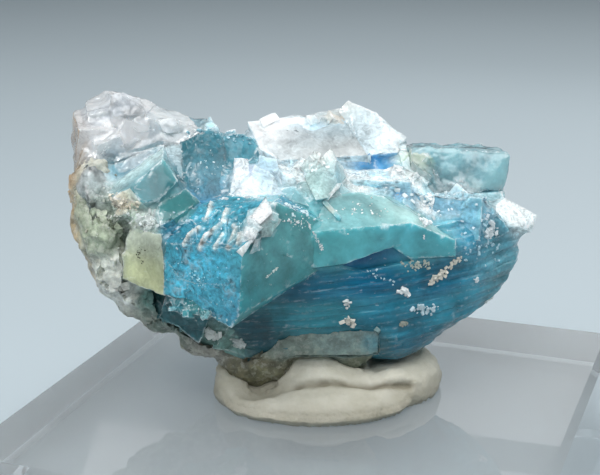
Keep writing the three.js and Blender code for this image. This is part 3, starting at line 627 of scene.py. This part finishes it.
def brucite(piece, name, see_through, scatter, gleam):
    """Brucite: a soft glassy hydroxide. It glows with light that spreads inside it, its cleavage is pearly,
    its edges and broken skin are whitened, and small crystal faces glint all over."""
    tree = finish_of(piece, name)
    place = node(tree, "TexCoord", {}, {}).outputs["Object"]
    tint = node(tree, "Attribute", {"attribute_name": "tint"}, {}).outputs["Color"]
    frost = node(tree, "Attribute", {"attribute_name": "frost"}, {}).outputs["Fac"]
    rim = node(tree, "Attribute", {"attribute_name": "rim"}, {}).outputs["Fac"]
    sheet = node(tree, "Attribute", {"attribute_name": "sheet"}, {}).outputs["Fac"]

    # Cloudy depth on the crystal faces, and streaks along the sheets of the body
    cloud = node(tree, "TexNoise", {}, {"Vector": place, "Scale": 1000 / 1.8, "Detail": 7, "Roughness": 0.62})
    along = {"Rotation": (0, SHEET_RISE, -SPECIMEN_TURN), "Scale": (130, 130, 2200)}
    turned = node(tree, "Mapping", {}, {"Vector": place, **along})
    streak = {"Vector": turned.outputs[0], "Scale": 1.0, "Detail": 5, "Roughness": 0.6}
    streak = node(tree, "TexNoise", {}, streak)
    depth = {0: sheet, 2: cloud.outputs[0], 3: streak.outputs[0]}
    depth = node(tree, "Mix", {"data_type": "FLOAT"}, depth)
    sugar = node(tree, "TexVoronoi", {}, {"Vector": place, "Scale": 1000 / 0.34})
    swing = node(tree, "MapRange", {}, {"Value": sheet, 1: 0.0, 2: 1.0, 3: 0.7, 4: 1.3})
    shade = node(tree, "Math", {"operation": "SUBTRACT"}, {0: depth.outputs[0], 1: 0.5})
    shade = {0: shade.outputs[0], 1: swing.outputs[0], 2: 1.0}
    shade = node(tree, "Math", {"operation": "MULTIPLY_ADD"}, shade)
    grain_shade = node(tree, "Math", {"operation": "SUBTRACT"}, {0: sugar.outputs["Color"], 1: 0.5})
    grain_shade = node(tree, "Math", {"operation": "MULTIPLY"}, {0: grain_shade.outputs[0], 1: frost})
    shade = {0: grain_shade.outputs[0], 1: 0.8, 2: shade.outputs[0]}
    shade = node(tree, "Math", {"operation": "MULTIPLY_ADD"}, shade)
    veil = node(tree, "TexNoise", {}, {"Vector": place, "Scale": 1000 / 4.5, "Detail": 3, "Distortion": 0.8})
    veil = node(tree, "MapRange", {}, {"Value": veil.outputs[0], 1: 0.3, 2: 0.7, 3: 0.68, 4: 1.36})
    shade = node(tree, "Math", {"operation": "MULTIPLY"}, {0: shade.outputs[0], 1: veil.outputs[0]})
    # Fine flecks lighten and darken the frosted skin: the light ones are painted glints, the dark ones grain
    # of the stone
    fleck = {"Vector": place, "Scale": 1000 / 0.8, "Detail": 4, "Roughness": 0.7, "Distortion": 1.6}
    fleck = node(tree, "TexNoise", {}, fleck)
    dark = node(tree, "MapRange", {}, {"Value": fleck.outputs[0], 1: 0.32, 2: 0.68, 3: -1.2, 4: 1.2})
    dark = node(tree, "Math", {"operation": "MULTIPLY"}, {0: dark.outputs[0], 1: frost})
    shade = node(tree, "Math", {"operation": "ADD"}, {0: shade.outputs[0], 1: dark.outputs[0]})
    mottled = node(tree, "VectorMath", {"operation": "SCALE"}, {0: tint, "Scale": shade.outputs[0]})

    # Whitening on edges, partly worn chips and partly a painted highlight, on frosted skin, and fine
    # scratches
    crisp = node(tree, "TexNoise", {}, {"Vector": place, "Scale": 1000 / 0.8, "Detail": 6, "Roughness": 0.7})
    worn = node(tree, "MapRange", {}, {"Value": crisp.outputs[0], 1: 0.45, 2: 0.62, 3: 0.0, 4: 1.0})
    sure = node(tree, "MapRange", {}, {"Value": frost, 1: 0.4, 2: 0.75, 3: 0.0, 4: 0.8})
    white = node(tree, "Math", {"operation": "MAXIMUM"}, {0: rim, 1: sure.outputs[0]})
    white = node(tree, "Math", {"operation": "MULTIPLY"}, {0: white.outputs[0], 1: worn.outputs[0]})
    across = {"Vector": place, "Rotation": (0.5, -0.6, 0.4), "Scale": (160, 2600, 2600)}
    across = node(tree, "Mapping", {}, across)
    lines = node(tree, "TexNoise", {}, {"Vector": across.outputs[0], "Scale": 1.0, "Detail": 2})
    scratch = node(tree, "MapRange", {}, {"Value": lines.outputs[0], 1: 0.69, 2: 0.78, 3: 0.0, 4: 0.4})
    white = node(tree, "Math", {"operation": "MAXIMUM"}, {0: white.outputs[0], 1: scratch.outputs[0]})
    white = node(tree, "Math", {"operation": "MULTIPLY"}, {0: white.outputs[0], 1: 0.75})
    body = {0: white.outputs[0], 6: mottled.outputs[0], 7: linear("#f0f6f8")}
    body = node(tree, "Mix", {"data_type": "RGBA"}, body)

    # Each small crystal face is tilted its own way
    tilt = {0: sugar.outputs["Color"], 1: (0.5, 0.5, 0.5)}
    tilt = node(tree, "VectorMath", {"operation": "SUBTRACT"}, tilt)
    sparkle = node(tree, "MapRange", {}, {"Value": frost, 1: 0.0, 2: 0.6, 3: 0.04, 4: 0.6})
    tilt = node(tree, "VectorMath", {"operation": "SCALE"}, {0: tilt.outputs[0], "Scale": sparkle.outputs[0]})
    facing = node(tree, "NewGeometry", {}, {})
    tilted = node(tree, "VectorMath", {"operation": "ADD"}, {0: facing.outputs["Normal"], 1: tilt.outputs[0]})
    tilted = node(tree, "VectorMath", {"operation": "NORMALIZE"}, {0: tilted.outputs[0]})
    height = {"Strength": 0.3, "Distance": 0.0002, "Height": depth.outputs[0], "Normal": tilted.outputs[0]}
    bump = node(tree, "Bump", {}, height)
    gloss = node(tree, "MapRange", {}, {"Value": white.outputs[0], 1: 0.0, 2: 0.8, 3: 0.12, 4: 0.4})
    glassy = node(
        tree,
        "BsdfPrincipled",
        {},
        {
            "Base Color": body.outputs[2],
            "Roughness": gloss.outputs[0],
            "IOR": 1.57,
            "Specular IOR Level": gleam,
            "Transmission Weight": see_through,
            "Subsurface Weight": 0.8,
            "Subsurface Radius": (0.9, 0.95, 1.0),
            "Subsurface Scale": scatter,
            "Coat Weight": 0.3,
            "Coat Roughness": 0.08,
            "Normal": bump.outputs[0],
        },
    )
    node(tree, "OutputMaterial", {}, {"Surface": glassy.outputs[0]})


brucite(crystals, "brucite_translucent", 0.0, 0.002, 0.25)
brucite(clear, "brucite_colourless", 0.34, 0.005, 0.8)
for piece in (crystals, clear):
    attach(piece, "root")
    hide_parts("brucite_crystals")

# Matrix rock
# The rind of the host rock that the crystals grew on: olive and tan serpentine down the left side and under
# the cluster, with a flat grey ledge in front. It was broken from the vein wall together with the crystals.
ROCK_VOXEL = 0.00032
ROCK_FILL = 0.0008
ROCK_TINTS = [
    # where on the specimen in mm, reach in mm, colour, how frosted, how broken up
    # the tan outer edge down the left side
    ((-23.4, 1, 21), 1.2, "#c6a683", 0.3, 0.45),
    ((-23.2, 0.6, 18), 1.2, "#bda27c", 0.3, 0.45),
    ((-22.4, -0.4, 15), 1.2, "#bca481", 0.3, 0.45),
    ((-20.6, -0.6, 11.4), 1.2, "#c3b398", 0.4, 0.45),
    ((-17.6, 0, 8), 1.2, "#a09d8e", 0.4, 0.45),
    # the grey-green grains inside it
    ((-20.9, -2.5, 22.2), 1.2, "#c0c2b8", 0.5, 0.7),
    ((-20.4, -3.2, 19.4), 1.4, "#aab69f", 0.35, 0.6),
    ((-19.6, -3.8, 16.8), 1.4, "#a2af97", 0.35, 0.6),
    ((-18.6, -4, 13.6), 1.4, "#d9ddd3", 0.6, 0.6),
    ((-18.8, -2.6, 11.2), 1.5, "#e3e6e0", 0.5, 0.5),
    ((-15.4, -3.6, 10.6), 1, "#588279", 0.1, 0.5),
    ((-13.6, -3.6, 8), 1.8, "#6d8078", 0.3, 0.6),
    ((-9.6, -3.6, 5.8), 1.6, "#9d9b92", 0.4, 0.5),
    # olive rock under the cluster and the grey ledge in front
    ((-7.6, -3.6, 3.6), 1, "#77735a", 0.3, 0.4),
    ((-5.4, -4, 3.2), 1.4, "#7d7c61", 0.3, 0.4),
    ((-2.6, -4, 3.8), 1.2, "#6b6953", 0.3, 0.4),
    ((-5.6, -4, 4.6), (2, 1, 0.5), "#7f7a66", 0.4, 0.4),
    ((2, -5.4, 6.8), 2.4, "#7b918d", 0.15, 0.0),
    ((4.9, -5.4, 6.8), 0.9, "#4c7f8a", 0.1, 0.0),
    ((-2.5, -5.4, 6), 1.8, "#76867e", 0.2, 0.1),
    ((3.4, -3.8, 4.4), 1.2, "#69725f", 0.2, 0.3),
    ((-14, 6, 10), 5, "#8d8a72", 0.4, 0.5),
    ((-2, 5, 4.6), 5, "#77745d", 0.3, 0.5),
]
# Corners in mm of a lump that fills the hollow beside the yellow crystal
ROCK_LUMP = [
    *[(-20.8, -3.3, 17.4), (-18.2, -4.2, 17.6), (-17.9, -4.5, 14.4), (-20.4, -2.9, 14.2)],
    *[(-19.4, -4.2, 16), (-19.2, -1.5, 16)],
]

rock = copy_of("matrix_rock", "matrix_rind")
combine(rock, hull(ROCK_LUMP))
modify(rock, "DISPLACE", strength=ROCK_FILL, mid_level=0)
modify(rock, "REMESH", mode="VOXEL", voxel_size=ROCK_VOXEL)
modify(rock, "DISPLACE", strength=-ROCK_FILL, mid_level=0)
modify(rock, "SMOOTH", factor=0.5, iterations=3)


def ramp(values, low, high):
    """0 below low, 1 above high, and a straight rise between."""
    return np.clip((values - low) / (high - low), 0, 1)


# At its upper end the rock stands back behind the crystals
where = in_specimen(points_of(rock))
where[:, 1] += 1.6 * ramp(where[:, 2], 18, 21) * ramp(-where[:, 1], 0, 3.4)
move_points(rock, on_block(where))
places = points_of(rock)
tint, frost, rough = tints_at(ROCK_TINTS, where)
large, large_share = broken(where, 1.9, 7.3)
small, small_share = broken(where, 0.7, 2.7)
relief = rough * (0.4 * large + 0.7 * small) + 0.06 * grain(where, 0.4, 9.1)

# Where the crystals grew on it, the rock reaches into them
grown_on = BVHTree.FromObject(crystals, bpy.context.evaluated_depsgraph_get())
gap = np.array([grown_on.find_nearest(Vector(p))[3] for p in places])
relief += np.where(gap < 0.0006, 0.28 + 0.25 * rough, 0.1)
move_points(rock, places + points_of(rock, "normal") * (relief / 1000)[:, None])
take(rock)
bpy.ops.object.shade_smooth_by_angle(angle=math.radians(32))
paint(rock, "tint", tint * (1 + rough * (0.5 * (small_share - 0.5) + 0.5 * (large_share - 0.5)))[:, None])
paint(rock, "frost", frost)

# Serpentine rind: dull and grainy, mottled olive and tan with darker dots, and glossier in its darker
# blotches
tree = finish_of(rock, "serpentine_matrix")
place = node(tree, "TexCoord", {}, {}).outputs["Object"]
tint = node(tree, "Attribute", {"attribute_name": "tint"}, {}).outputs["Color"]
frost = node(tree, "Attribute", {"attribute_name": "frost"}, {}).outputs["Fac"]
blotch = node(tree, "TexNoise", {}, {"Vector": place, "Scale": 1000 / 1.0, "Detail": 7, "Roughness": 0.68})
shade = node(tree, "MapRange", {}, {"Value": blotch.outputs[0], 1: 0.34, 2: 0.66, 3: 0.5, 4: 1.4})
mottled = node(tree, "VectorMath", {"operation": "SCALE"}, {0: tint, "Scale": shade.outputs[0]})
fleck = node(tree, "TexNoise", {}, {"Vector": place, "Scale": 1000 / 0.7, "Detail": 6, "Roughness": 0.7})
bright = node(tree, "MapRange", {}, {"Value": fleck.outputs[0], 1: 0.5, 2: 0.58, 3: 0.0, 4: 1.0})
bright = node(tree, "Math", {"operation": "MULTIPLY"}, {0: bright.outputs[0], 1: frost})
pale = node(
    tree,
    "Mix",
    {"data_type": "RGBA"},
    {0: bright.outputs[0], 6: mottled.outputs[0], 7: linear("#dcdccf")},
)
bump = node(tree, "Bump", {}, {"Strength": 0.6, "Distance": 0.0003, "Height": blotch.outputs[0]})
bump = node(
    tree,
    "Bump",
    {},
    {"Strength": 0.5, "Distance": 0.0002, "Height": fleck.outputs[0], "Normal": bump.outputs[0]},
)
gloss = node(tree, "MapRange", {}, {"Value": blotch.outputs[0], 1: 0.3, 2: 0.7, 3: 0.3, 4: 0.7})
stone = node(
    tree,
    "BsdfPrincipled",
    {},
    {
        "Base Color": pale.outputs[2],
        "Roughness": gloss.outputs[0],
        "IOR": 1.56,
        "Subsurface Weight": 0.2,
        "Subsurface Radius": (1.0, 0.9, 0.7),
        "Subsurface Scale": 0.001,
        "Coat Weight": 0.2,
        "Coat Roughness": 0.15,
        "Normal": bump.outputs[0],
    },
)
node(tree, "OutputMaterial", {}, {"Surface": stone.outputs[0]})
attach(rock, "root")
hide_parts("matrix_rock")

# Frost and crust
# Grains of colourless brucite and of a white carbonate crust that grew last of all. They fill the hollow
# behind the teal block, stand in rows on the edges, and lie in specks on the front of the body.
# The pale blue grains on the front block's slope and left face are painted glints: bright grains where these
# faces sparkle.
GRAIN_ROWS = [
    # from and to on the specimen in mm, reach in mm, how many, smallest and largest in mm, colour
    # in the frosted hollow
    ((4, 1, 20.8), (8, 2.4, 20), 0.9, 30, 0.15, 0.5, "#eef4f5"),
    ((8.5, 1, 19.4), (12.5, 1.6, 18.6), 0.9, 30, 0.15, 0.5, "#e6f1f4"),
    ((13, 1, 17.6), (17, 1, 16.4), 0.8, 24, 0.15, 0.4, "#d3e6ee"),
    ((10.2, -1.6, 17.6), (9.4, -3.6, 17.4), 0.35, 26, 0.15, 0.45, "#eef5f7"),
    ((10.4, 0.4, 18.8), (10.6, 0.6, 18.8), 0.35, 14, 0.2, 0.5, "#f2f7f8"),
    ((7.8, 3.2, 21.3), (8, 3.4, 21.2), 0.25, 8, 0.2, 0.5, "#f2f7f8"),
    ((-3, 3, 21), (3, 4, 20.8), 1.2, 20, 0.15, 0.5, "#e6eff2"),
    # round the spears and along the edges of the front block
    ((-2, -0.6, 22.2), (0.6, 0.2, 23), 0.5, 34, 0.15, 0.5, "#e9f0ee"),
    ((-3, -8.7, 19.5), (-0.9, -6.6, 18.8), 0.22, 40, 0.05, 0.2, "#eef5f6"),
    ((-0.9, -6.6, 18.8), (0.4, -6.6, 16.2), 0.06, 70, 0.05, 0.15, "#eef5f5"),
    ((-3, -7.4, 20.4), (-1.6, -6, 19.8), 0.7, 50, 0.1, 0.3, "#d3e8ee"),
    ((-8.6, -5, 20.6), (-5.6, -6.6, 20.8), 0.3, 30, 0.12, 0.36, "#eaf4f8"),
    ((1, -4.4, 19.1), (6.4, -3.6, 19.2), 0.6, 26, 0.08, 0.2, "#eef4f2"),
    # on the front block: its slope, its left face and its foot
    # Painted glints: pale blue grains where the slope and the left face sparkle
    ((-12.4, -7.2, 18.6), (-7.4, -8.4, 20.2), 0.9, 44, 0.05, 0.22, "#c6e2ee"),
    ((-12.6, -8.8, 16), (-7.6, -11.3, 16.2), 1.1, 34, 0.04, 0.11, "#a3dcec"),
    ((-12.4, -8.8, 13.4), (-8, -11, 12.6), 0.8, 34, 0.04, 0.12, "#a3d3de"),
    ((-11.8, -9.2, 15), (-9.9, -10.1, 14.3), 0.25, 30, 0.05, 0.18, "#a9e3f2"),
    ((-13.5, -8.1, 15.7), (-12.3, -8.9, 14.3), 0.03, 60, 0.03, 0.08, "#8fbcc3"),
    ((-12.3, -8.9, 14.3), (-11, -9.6, 14.1), 0.03, 50, 0.03, 0.08, "#9fc9d0"),
    ((-11, -9.6, 14.1), (-7.9, -11.2, 14.5), 0.05, 80, 0.03, 0.08, "#8fc3d3"),
    ((-12.6, -8.6, 12.2), (-7.8, -10.8, 10.8), 0.25, 44, 0.05, 0.16, "#a9c6c9"),
    ((-4.6, -10, 14.8), (-3.6, -9.3, 15.5), 0.03, 26, 0.08, 0.2, "#d9e8e4"),
    # on the ridge and the left blocks
    ((-12.6, 2.2, 24.9), (-6, 2.4, 24.6), 0.4, 50, 0.12, 0.36, "#7fb0bf"),
    ((-12, -1, 22.4), (-8.4, -1, 22.2), 1.1, 24, 0.05, 0.2, "#cfe8f0"),
    ((-19.4, -3.6, 20.3), (-16.6, -5.2, 20), 0.3, 60, 0.1, 0.35, "#e4dccb"),
    ((-16.4, -5.6, 18.8), (-14.4, -6.4, 18.9), 0.35, 60, 0.1, 0.35, "#dce4e2"),
    ((-19, -3.4, 19), (-17, -5, 18.4), 0.5, 30, 0.12, 0.4, "#b4c0b6"),
    # over the left rim
    ((-22.6, -1, 21), (-21.6, -2.2, 15), 0.9, 40, 0.08, 0.25, "#b4b4a3"),
    ((-20.4, -3, 21), (-19.4, -3.8, 14), 0.9, 50, 0.08, 0.25, "#c3c9be"),
    ((-20.6, -2.8, 20), (-18.6, -3.8, 13), 1, 50, 0.06, 0.2, "#e4e6df"),
    ((-20, -2, 12), (-15, -3, 9), 0.8, 30, 0.08, 0.25, "#98a298"),
    ((-23.4, 0.6, 20), (-20, -1, 10.6), 0.5, 40, 0.08, 0.25, "#b8a285"),
    # specks of crust on the front of the body
    ((10.5, -3.4, 12), (13.4, -1.9, 14), 0.16, 60, 0.12, 0.4, "#dcd9cc"),
    ((7.9, -4.2, 14.3), (10.1, -3.4, 13.7), 0.22, 40, 0.1, 0.3, "#b9c4b9"),
    ((7.8, -4.7, 11.8), (8.3, -4.5, 11.3), 0.15, 18, 0.2, 0.5, "#eef2f2"),
    ((8.8, -4.4, 9.8), (11, -3.3, 9.4), 0.2, 36, 0.12, 0.4, "#c6dde6"),
    ((2.7, -5.7, 11.2), (2.8, -5.6, 10.6), 0.12, 12, 0.12, 0.4, "#dfe6e4"),
    ((2.8, -5.6, 9.4), (2.9, -5.6, 8.7), 0.2, 24, 0.15, 0.4, "#dedbd0"),
    ((7.6, -4.7, 8.4), (8.4, -4.4, 8.4), 0.1, 14, 0.15, 0.36, "#a9ada0"),
    ((15.1, -1.4, 11.6), (15.2, -1.4, 11.5), 0.15, 10, 0.15, 0.4, "#dfe9ec"),
    ((16.4, 1.4, 8.6), (16.9, 2, 8.6), 0.15, 12, 0.15, 0.4, "#dfe6e4"),
    ((-10.2, -4.8, 7.8), (-9.5, -4.8, 7.4), 0.2, 26, 0.2, 0.6, "#e6e9e4"),
    ((-7.7, -4.9, 6.8), (-6.9, -4.8, 6.5), 0.2, 20, 0.2, 0.5, "#d9dfdc"),
    ((4, -5.3, 13.6), (6.9, -4.9, 12.9), 0.4, 14, 0.08, 0.2, "#b9dae6"),
    ((15.6, -0.2, 16.4), (17.2, 0.6, 16), 0.4, 24, 0.15, 0.5, "#e6f0f3"),
    ((14, -1.6, 15), (17.6, 1, 14), 0.8, 40, 0.1, 0.36, "#a5c9d6"),
    # black flecks on the yellow crystal
    ((-16.3, -6.1, 16), (-16, -6.3, 15.1), 0.25, 16, 0.05, 0.13, "#3a382c"),
]
GRAIN_SEED = 5

bpy.ops.object.select_all(action="DESELECT")
bpy.ops.mesh.primitive_cube_add(size=1)
grain_block = bpy.context.object
bpy.ops.object.mode_set(mode="EDIT")
bpy.ops.mesh.select_mode(type="VERT")
bpy.ops.mesh.select_all(action="DESELECT")
mesh = bmesh.from_edit_mesh(grain_block.data)
for point in mesh.verts:
    point.select = point.co.z > 0 and point.co.x * point.co.y > 0
mesh.select_flush_mode()
bmesh.update_edit_mesh(grain_block.data)
bpy.ops.mesh.bevel(affect="VERTICES", offset=0.32)
bpy.ops.object.mode_set(mode="OBJECT")
block_points = points_of(grain_block)
block_faces = [list(face.vertices) for face in grain_block.data.polygons]
bpy.data.objects.remove(grain_block)

# Each grain sits on the nearest face of crystal or rock, more or less square to it
dice = np.random.default_rng(GRAIN_SEED)
scene_now = bpy.context.evaluated_depsgraph_get()
seats = [BVHTree.FromObject(piece, scene_now) for piece in (crystals, clear, rock)]
grain_points = []
grain_faces = []
grain_tints = []
for start, end, reach, count, smallest, largest, hex_colour in GRAIN_ROWS:
    for _ in range(count):
        aim = np.array(start) + (np.array(end) - start) * dice.random() + dice.normal(0, reach, 3)
        aim = Vector(on_block([aim])[0])
        place, facing, _, _ = min((seat.find_nearest(aim) for seat in seats), key=lambda found: found[3])
        side = (smallest + (largest - smallest) * dice.random() ** 2) / 1000
        turn = Euler(dice.normal(0, 0.35, 3)).to_matrix() @ Euler((0, 0, dice.uniform(0, 6.3))).to_matrix()
        turn = np.array(facing.to_track_quat("Z", "Y").to_matrix() @ turn)
        size = side * np.array((1.3, dice.uniform(0.6, 1), dice.uniform(0.4, 0.9)))
        first = len(grain_points) * len(block_points)
        grain_points.append(block_points * size @ turn.T + place + np.array(facing) * side * 0.02)
        grain_faces += [[first + i for i in face] for face in block_faces]
        shade = np.array(linear(hex_colour)[:3]) * dice.uniform(0.8, 1.1)
        grain_tints.append(np.tile(shade, (len(block_points), 1)))
mesh = bpy.data.meshes.new("frost_grains")
mesh.from_pydata(np.concatenate(grain_points).tolist(), [], grain_faces)
grains = bpy.data.objects.new("frost_grains", mesh)
bpy.context.scene.collection.objects.link(grains)
paint(grains, "tint", np.concatenate(grain_tints))

# Frost: clear to white grains with bright flat faces, softly lit from inside
tree = finish_of(grains, "brucite_frost")
tint = node(tree, "Attribute", {"attribute_name": "tint"}, {}).outputs["Color"]
frosty = node(
    tree,
    "BsdfPrincipled",
    {},
    {
        "Base Color": tint,
        "Roughness": 0.25,
        "IOR": 1.57,
        "Subsurface Weight": 0.2,
        "Subsurface Radius": (1.0, 1.0, 1.0),
        "Subsurface Scale": 0.0003,
        "Coat Weight": 0.3,
        "Coat Roughness": 0.06,
    },
)
node(tree, "OutputMaterial", {}, {"Surface": frosty.outputs[0]})
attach(grains, "root")
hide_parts("brucite_crystals")

# Mounting putty
# A pad of off-white mineral putty, pressed by hand on to the block and the underside of the specimen. It
# bulges out round the rock, with one lobe folded against the other.
PUTTY_VOXEL = 0.0003
PUTTY_LIFT = 0.00002
# Points in mm along the crease
PUTTY_FOLD = [(-4.5, -5.6, 2.4), (-1.6, -5.7, 2.7), (1.3, -5.8, 3), (5.1, -5.7, 2.7), (8.9, -4.6, 2.2)]
PUTTY_DENTS = [
    # where on the specimen in mm, reach in mm, how deep in mm
    ((-5.6, -4.8, 3.4), (3.2, 2.4, 2), 1.3),
    ((4.4, -4.4, 4.2), (2.4, 2, 1.6), 0.8),
]

putty = copy_of("mounting_putty", "mineral_putty")
modify(putty, "REMESH", mode="VOXEL", voxel_size=PUTTY_VOXEL)
modify(putty, "SMOOTH", factor=0.5, iterations=3)

# The rock has pressed dents into its top, and it is spread out where it sticks to the block
where = in_specimen(points_of(putty))
outward = in_specimen(points_of(putty, "normal") + on_block([(0, 0, 0)]))
spread = 0.8 * ramp(-where[:, 2], -2.2, -0.2) ** 2 * np.clip(1 - outward[:, 2], 0, 1)
where[:, :2] += outward[:, :2] / 1000 * spread[:, None]
for centre, reach, depth in PUTTY_DENTS:
    away = (((where - np.array(centre)) / np.array(reach)) ** 2).sum(axis=1)
    where[:, 2] -= depth * np.exp(-(away**2))
move_points(putty, on_block(where))

# One lobe is folded against the other along a crease
crease = far_from(where, PUTTY_FOLD)
fold = np.exp(-((crease / 0.4) ** 2)) * np.clip(0.8 + 0.5 * grain(where, 1.2, 4.4), 0.2, 1.2)
places = points_of(putty)
carried = [BVHTree.FromObject(piece, bpy.context.evaluated_depsgraph_get()) for piece in (rock, crystals)]
gap = np.array([min(seat.find_nearest(Vector(p))[3] for seat in carried) for p in places])
swell = 0.2 * grain(where, 2.6) + 0.11 * grain(where, 0.9, 3.1) + 0.07 * grain(where, 0.4, 1.7)
swell += np.where(gap < 0.0006, 0.3, 0) - 0.6 * fold
lying = where[:, 2] < 0.25
places += points_of(putty, "normal") * (swell / 1000)[:, None]
floor = BLOCK_THICKNESS + PUTTY_LIFT
places[:, 2] = np.where(lying, floor, np.maximum(places[:, 2], floor))
move_points(putty, places)
take(putty)
bpy.ops.object.shade_smooth()
# Painted shade: the crease and the lower side of the pad are marked to be darkened, where shade falls
paint(putty, "painted_shade", fold + 0.75 * ramp(-where[:, 2], -4.2, -1.2))

# Mineral putty: matt and slightly waxy, with a fine grain, faint thumb marks, and painted shade that darkens
# its crease and its lower side
tree = finish_of(putty, "mineral_putty_off_white")
place = node(tree, "TexCoord", {}, {}).outputs["Object"]
dirt = node(tree, "TexNoise", {}, {"Vector": place, "Scale": 1000 / 3.5, "Detail": 6, "Roughness": 0.6})
dirty = node(tree, "MapRange", {}, {"Value": dirt.outputs[0], 1: 0.35, 2: 0.7, 3: 0.0, 4: 1.0})
skin = node(
    tree,
    "Mix",
    {"data_type": "RGBA"},
    {0: dirty.outputs[0], 6: linear("#d0cdbc"), 7: linear("#eceadd")},
)
# Painted shade: the marked crease and lower side are mixed towards a dark grey-brown
painted_shade = node(tree, "Attribute", {"attribute_name": "painted_shade"}, {}).outputs["Fac"]
shade_share = node(tree, "MapRange", {}, {"Value": painted_shade, 1: 0.1, 2: 1.1, 3: 0.0, 4: 0.85})
skin = {0: shade_share.outputs[0], 6: skin.outputs[2], 7: linear("#6f6853")}
skin = node(tree, "Mix", {"data_type": "RGBA"}, skin)
grit = node(tree, "TexNoise", {}, {"Vector": place, "Scale": 1000 / 0.35, "Detail": 5})
bump = node(tree, "Bump", {}, {"Strength": 0.6, "Distance": 0.00015, "Height": grit.outputs[0]})
bump = node(
    tree,
    "Bump",
    {},
    {"Strength": 0.3, "Distance": 0.0004, "Height": dirt.outputs[0], "Normal": bump.outputs[0]},
)
clay = node(
    tree,
    "BsdfPrincipled",
    {},
    {
        "Base Color": skin.outputs[2],
        "Roughness": 0.7,
        "Subsurface Weight": 0.15,
        "Subsurface Radius": (1.0, 0.9, 0.7),
        "Subsurface Scale": 0.0008,
        "Normal": bump.outputs[0],
    },
)
node(tree, "OutputMaterial", {}, {"Surface": clay.outputs[0]})
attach(putty, "root")
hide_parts("mounting_putty")

# Table and light
# A plain pale table top under the block, a broad soft light above it, a smaller one on the left, weaker ones
# behind and on the right, and a low strip behind that shines on the block's top.
bpy.ops.object.select_all(action="DESELECT")
bpy.ops.mesh.primitive_plane_add(size=6, location=(0, 0, 0))
table = bpy.context.object
table.name = "table_top"
tree = finish_of(table, "pale_table_top")
top = node(tree, "BsdfPrincipled", {}, {"Base Color": linear("#b2bec4"), "Roughness": 0.75})
node(tree, "OutputMaterial", {}, {"Surface": top.outputs[0]})

for name, place, width, height, power in [
    ("soft_light_front", (-60, -200, 350), 0.36, 0.36, 1.3),
    ("soft_light_left", (-190, -90, 330), 0.10, 0.10, 0.42),
    ("soft_light_behind", (60, 220, 320), 0.40, 0.40, 0.35),
    ("soft_light_right", (220, 30, 230), 0.30, 0.30, 0.42),
    ("soft_light_low", (75, 230, 90), 0.20, 0.05, 0.022),
]:
    bpy.ops.object.light_add(type="AREA", location=on_block([place])[0])
    light = bpy.context.object
    light.name = name
    light.data.shape = "RECTANGLE"
    light.data.size = width
    light.data.size_y = height
    light.data.energy = power
    toward = Vector(on_block([(0, 0, 15)])[0]) - light.location
    light.rotation_euler = toward.to_track_quat("-Z", "Y").to_euler()

world = bpy.data.worlds.new("studio")
bpy.context.scene.world = world
world.use_nodes = True
world.node_tree.nodes["Background"].inputs["Color"].default_value = linear("#c2ccd2")
world.node_tree.nodes["Background"].inputs["Strength"].default_value = 0.36
bpy.context.scene.view_settings.view_transform = "Standard"

# Camera: where the photograph was taken from, in front of the specimen, above it and looking down a little.
# Its place is in mm, its tilt in degrees, and its focal length in pixels of the photograph's width.
CAMERA_PLACE = (-1.65, -122.5, 52.6)
LOOK_DOWN = 16.88
FOCAL_PIXELS = 1348
PHOTO_PIXELS = 600

bpy.ops.object.camera_add(location=on_block([CAMERA_PLACE])[0])
camera = bpy.context.object
camera.rotation_euler = (math.radians(90 - LOOK_DOWN), 0, SPECIMEN_TURN)
camera.data.sensor_width = 36
camera.data.lens = FOCAL_PIXELS / PHOTO_PIXELS * camera.data.sensor_width
camera.data.clip_start = 0.005
bpy.context.scene.camera = camera
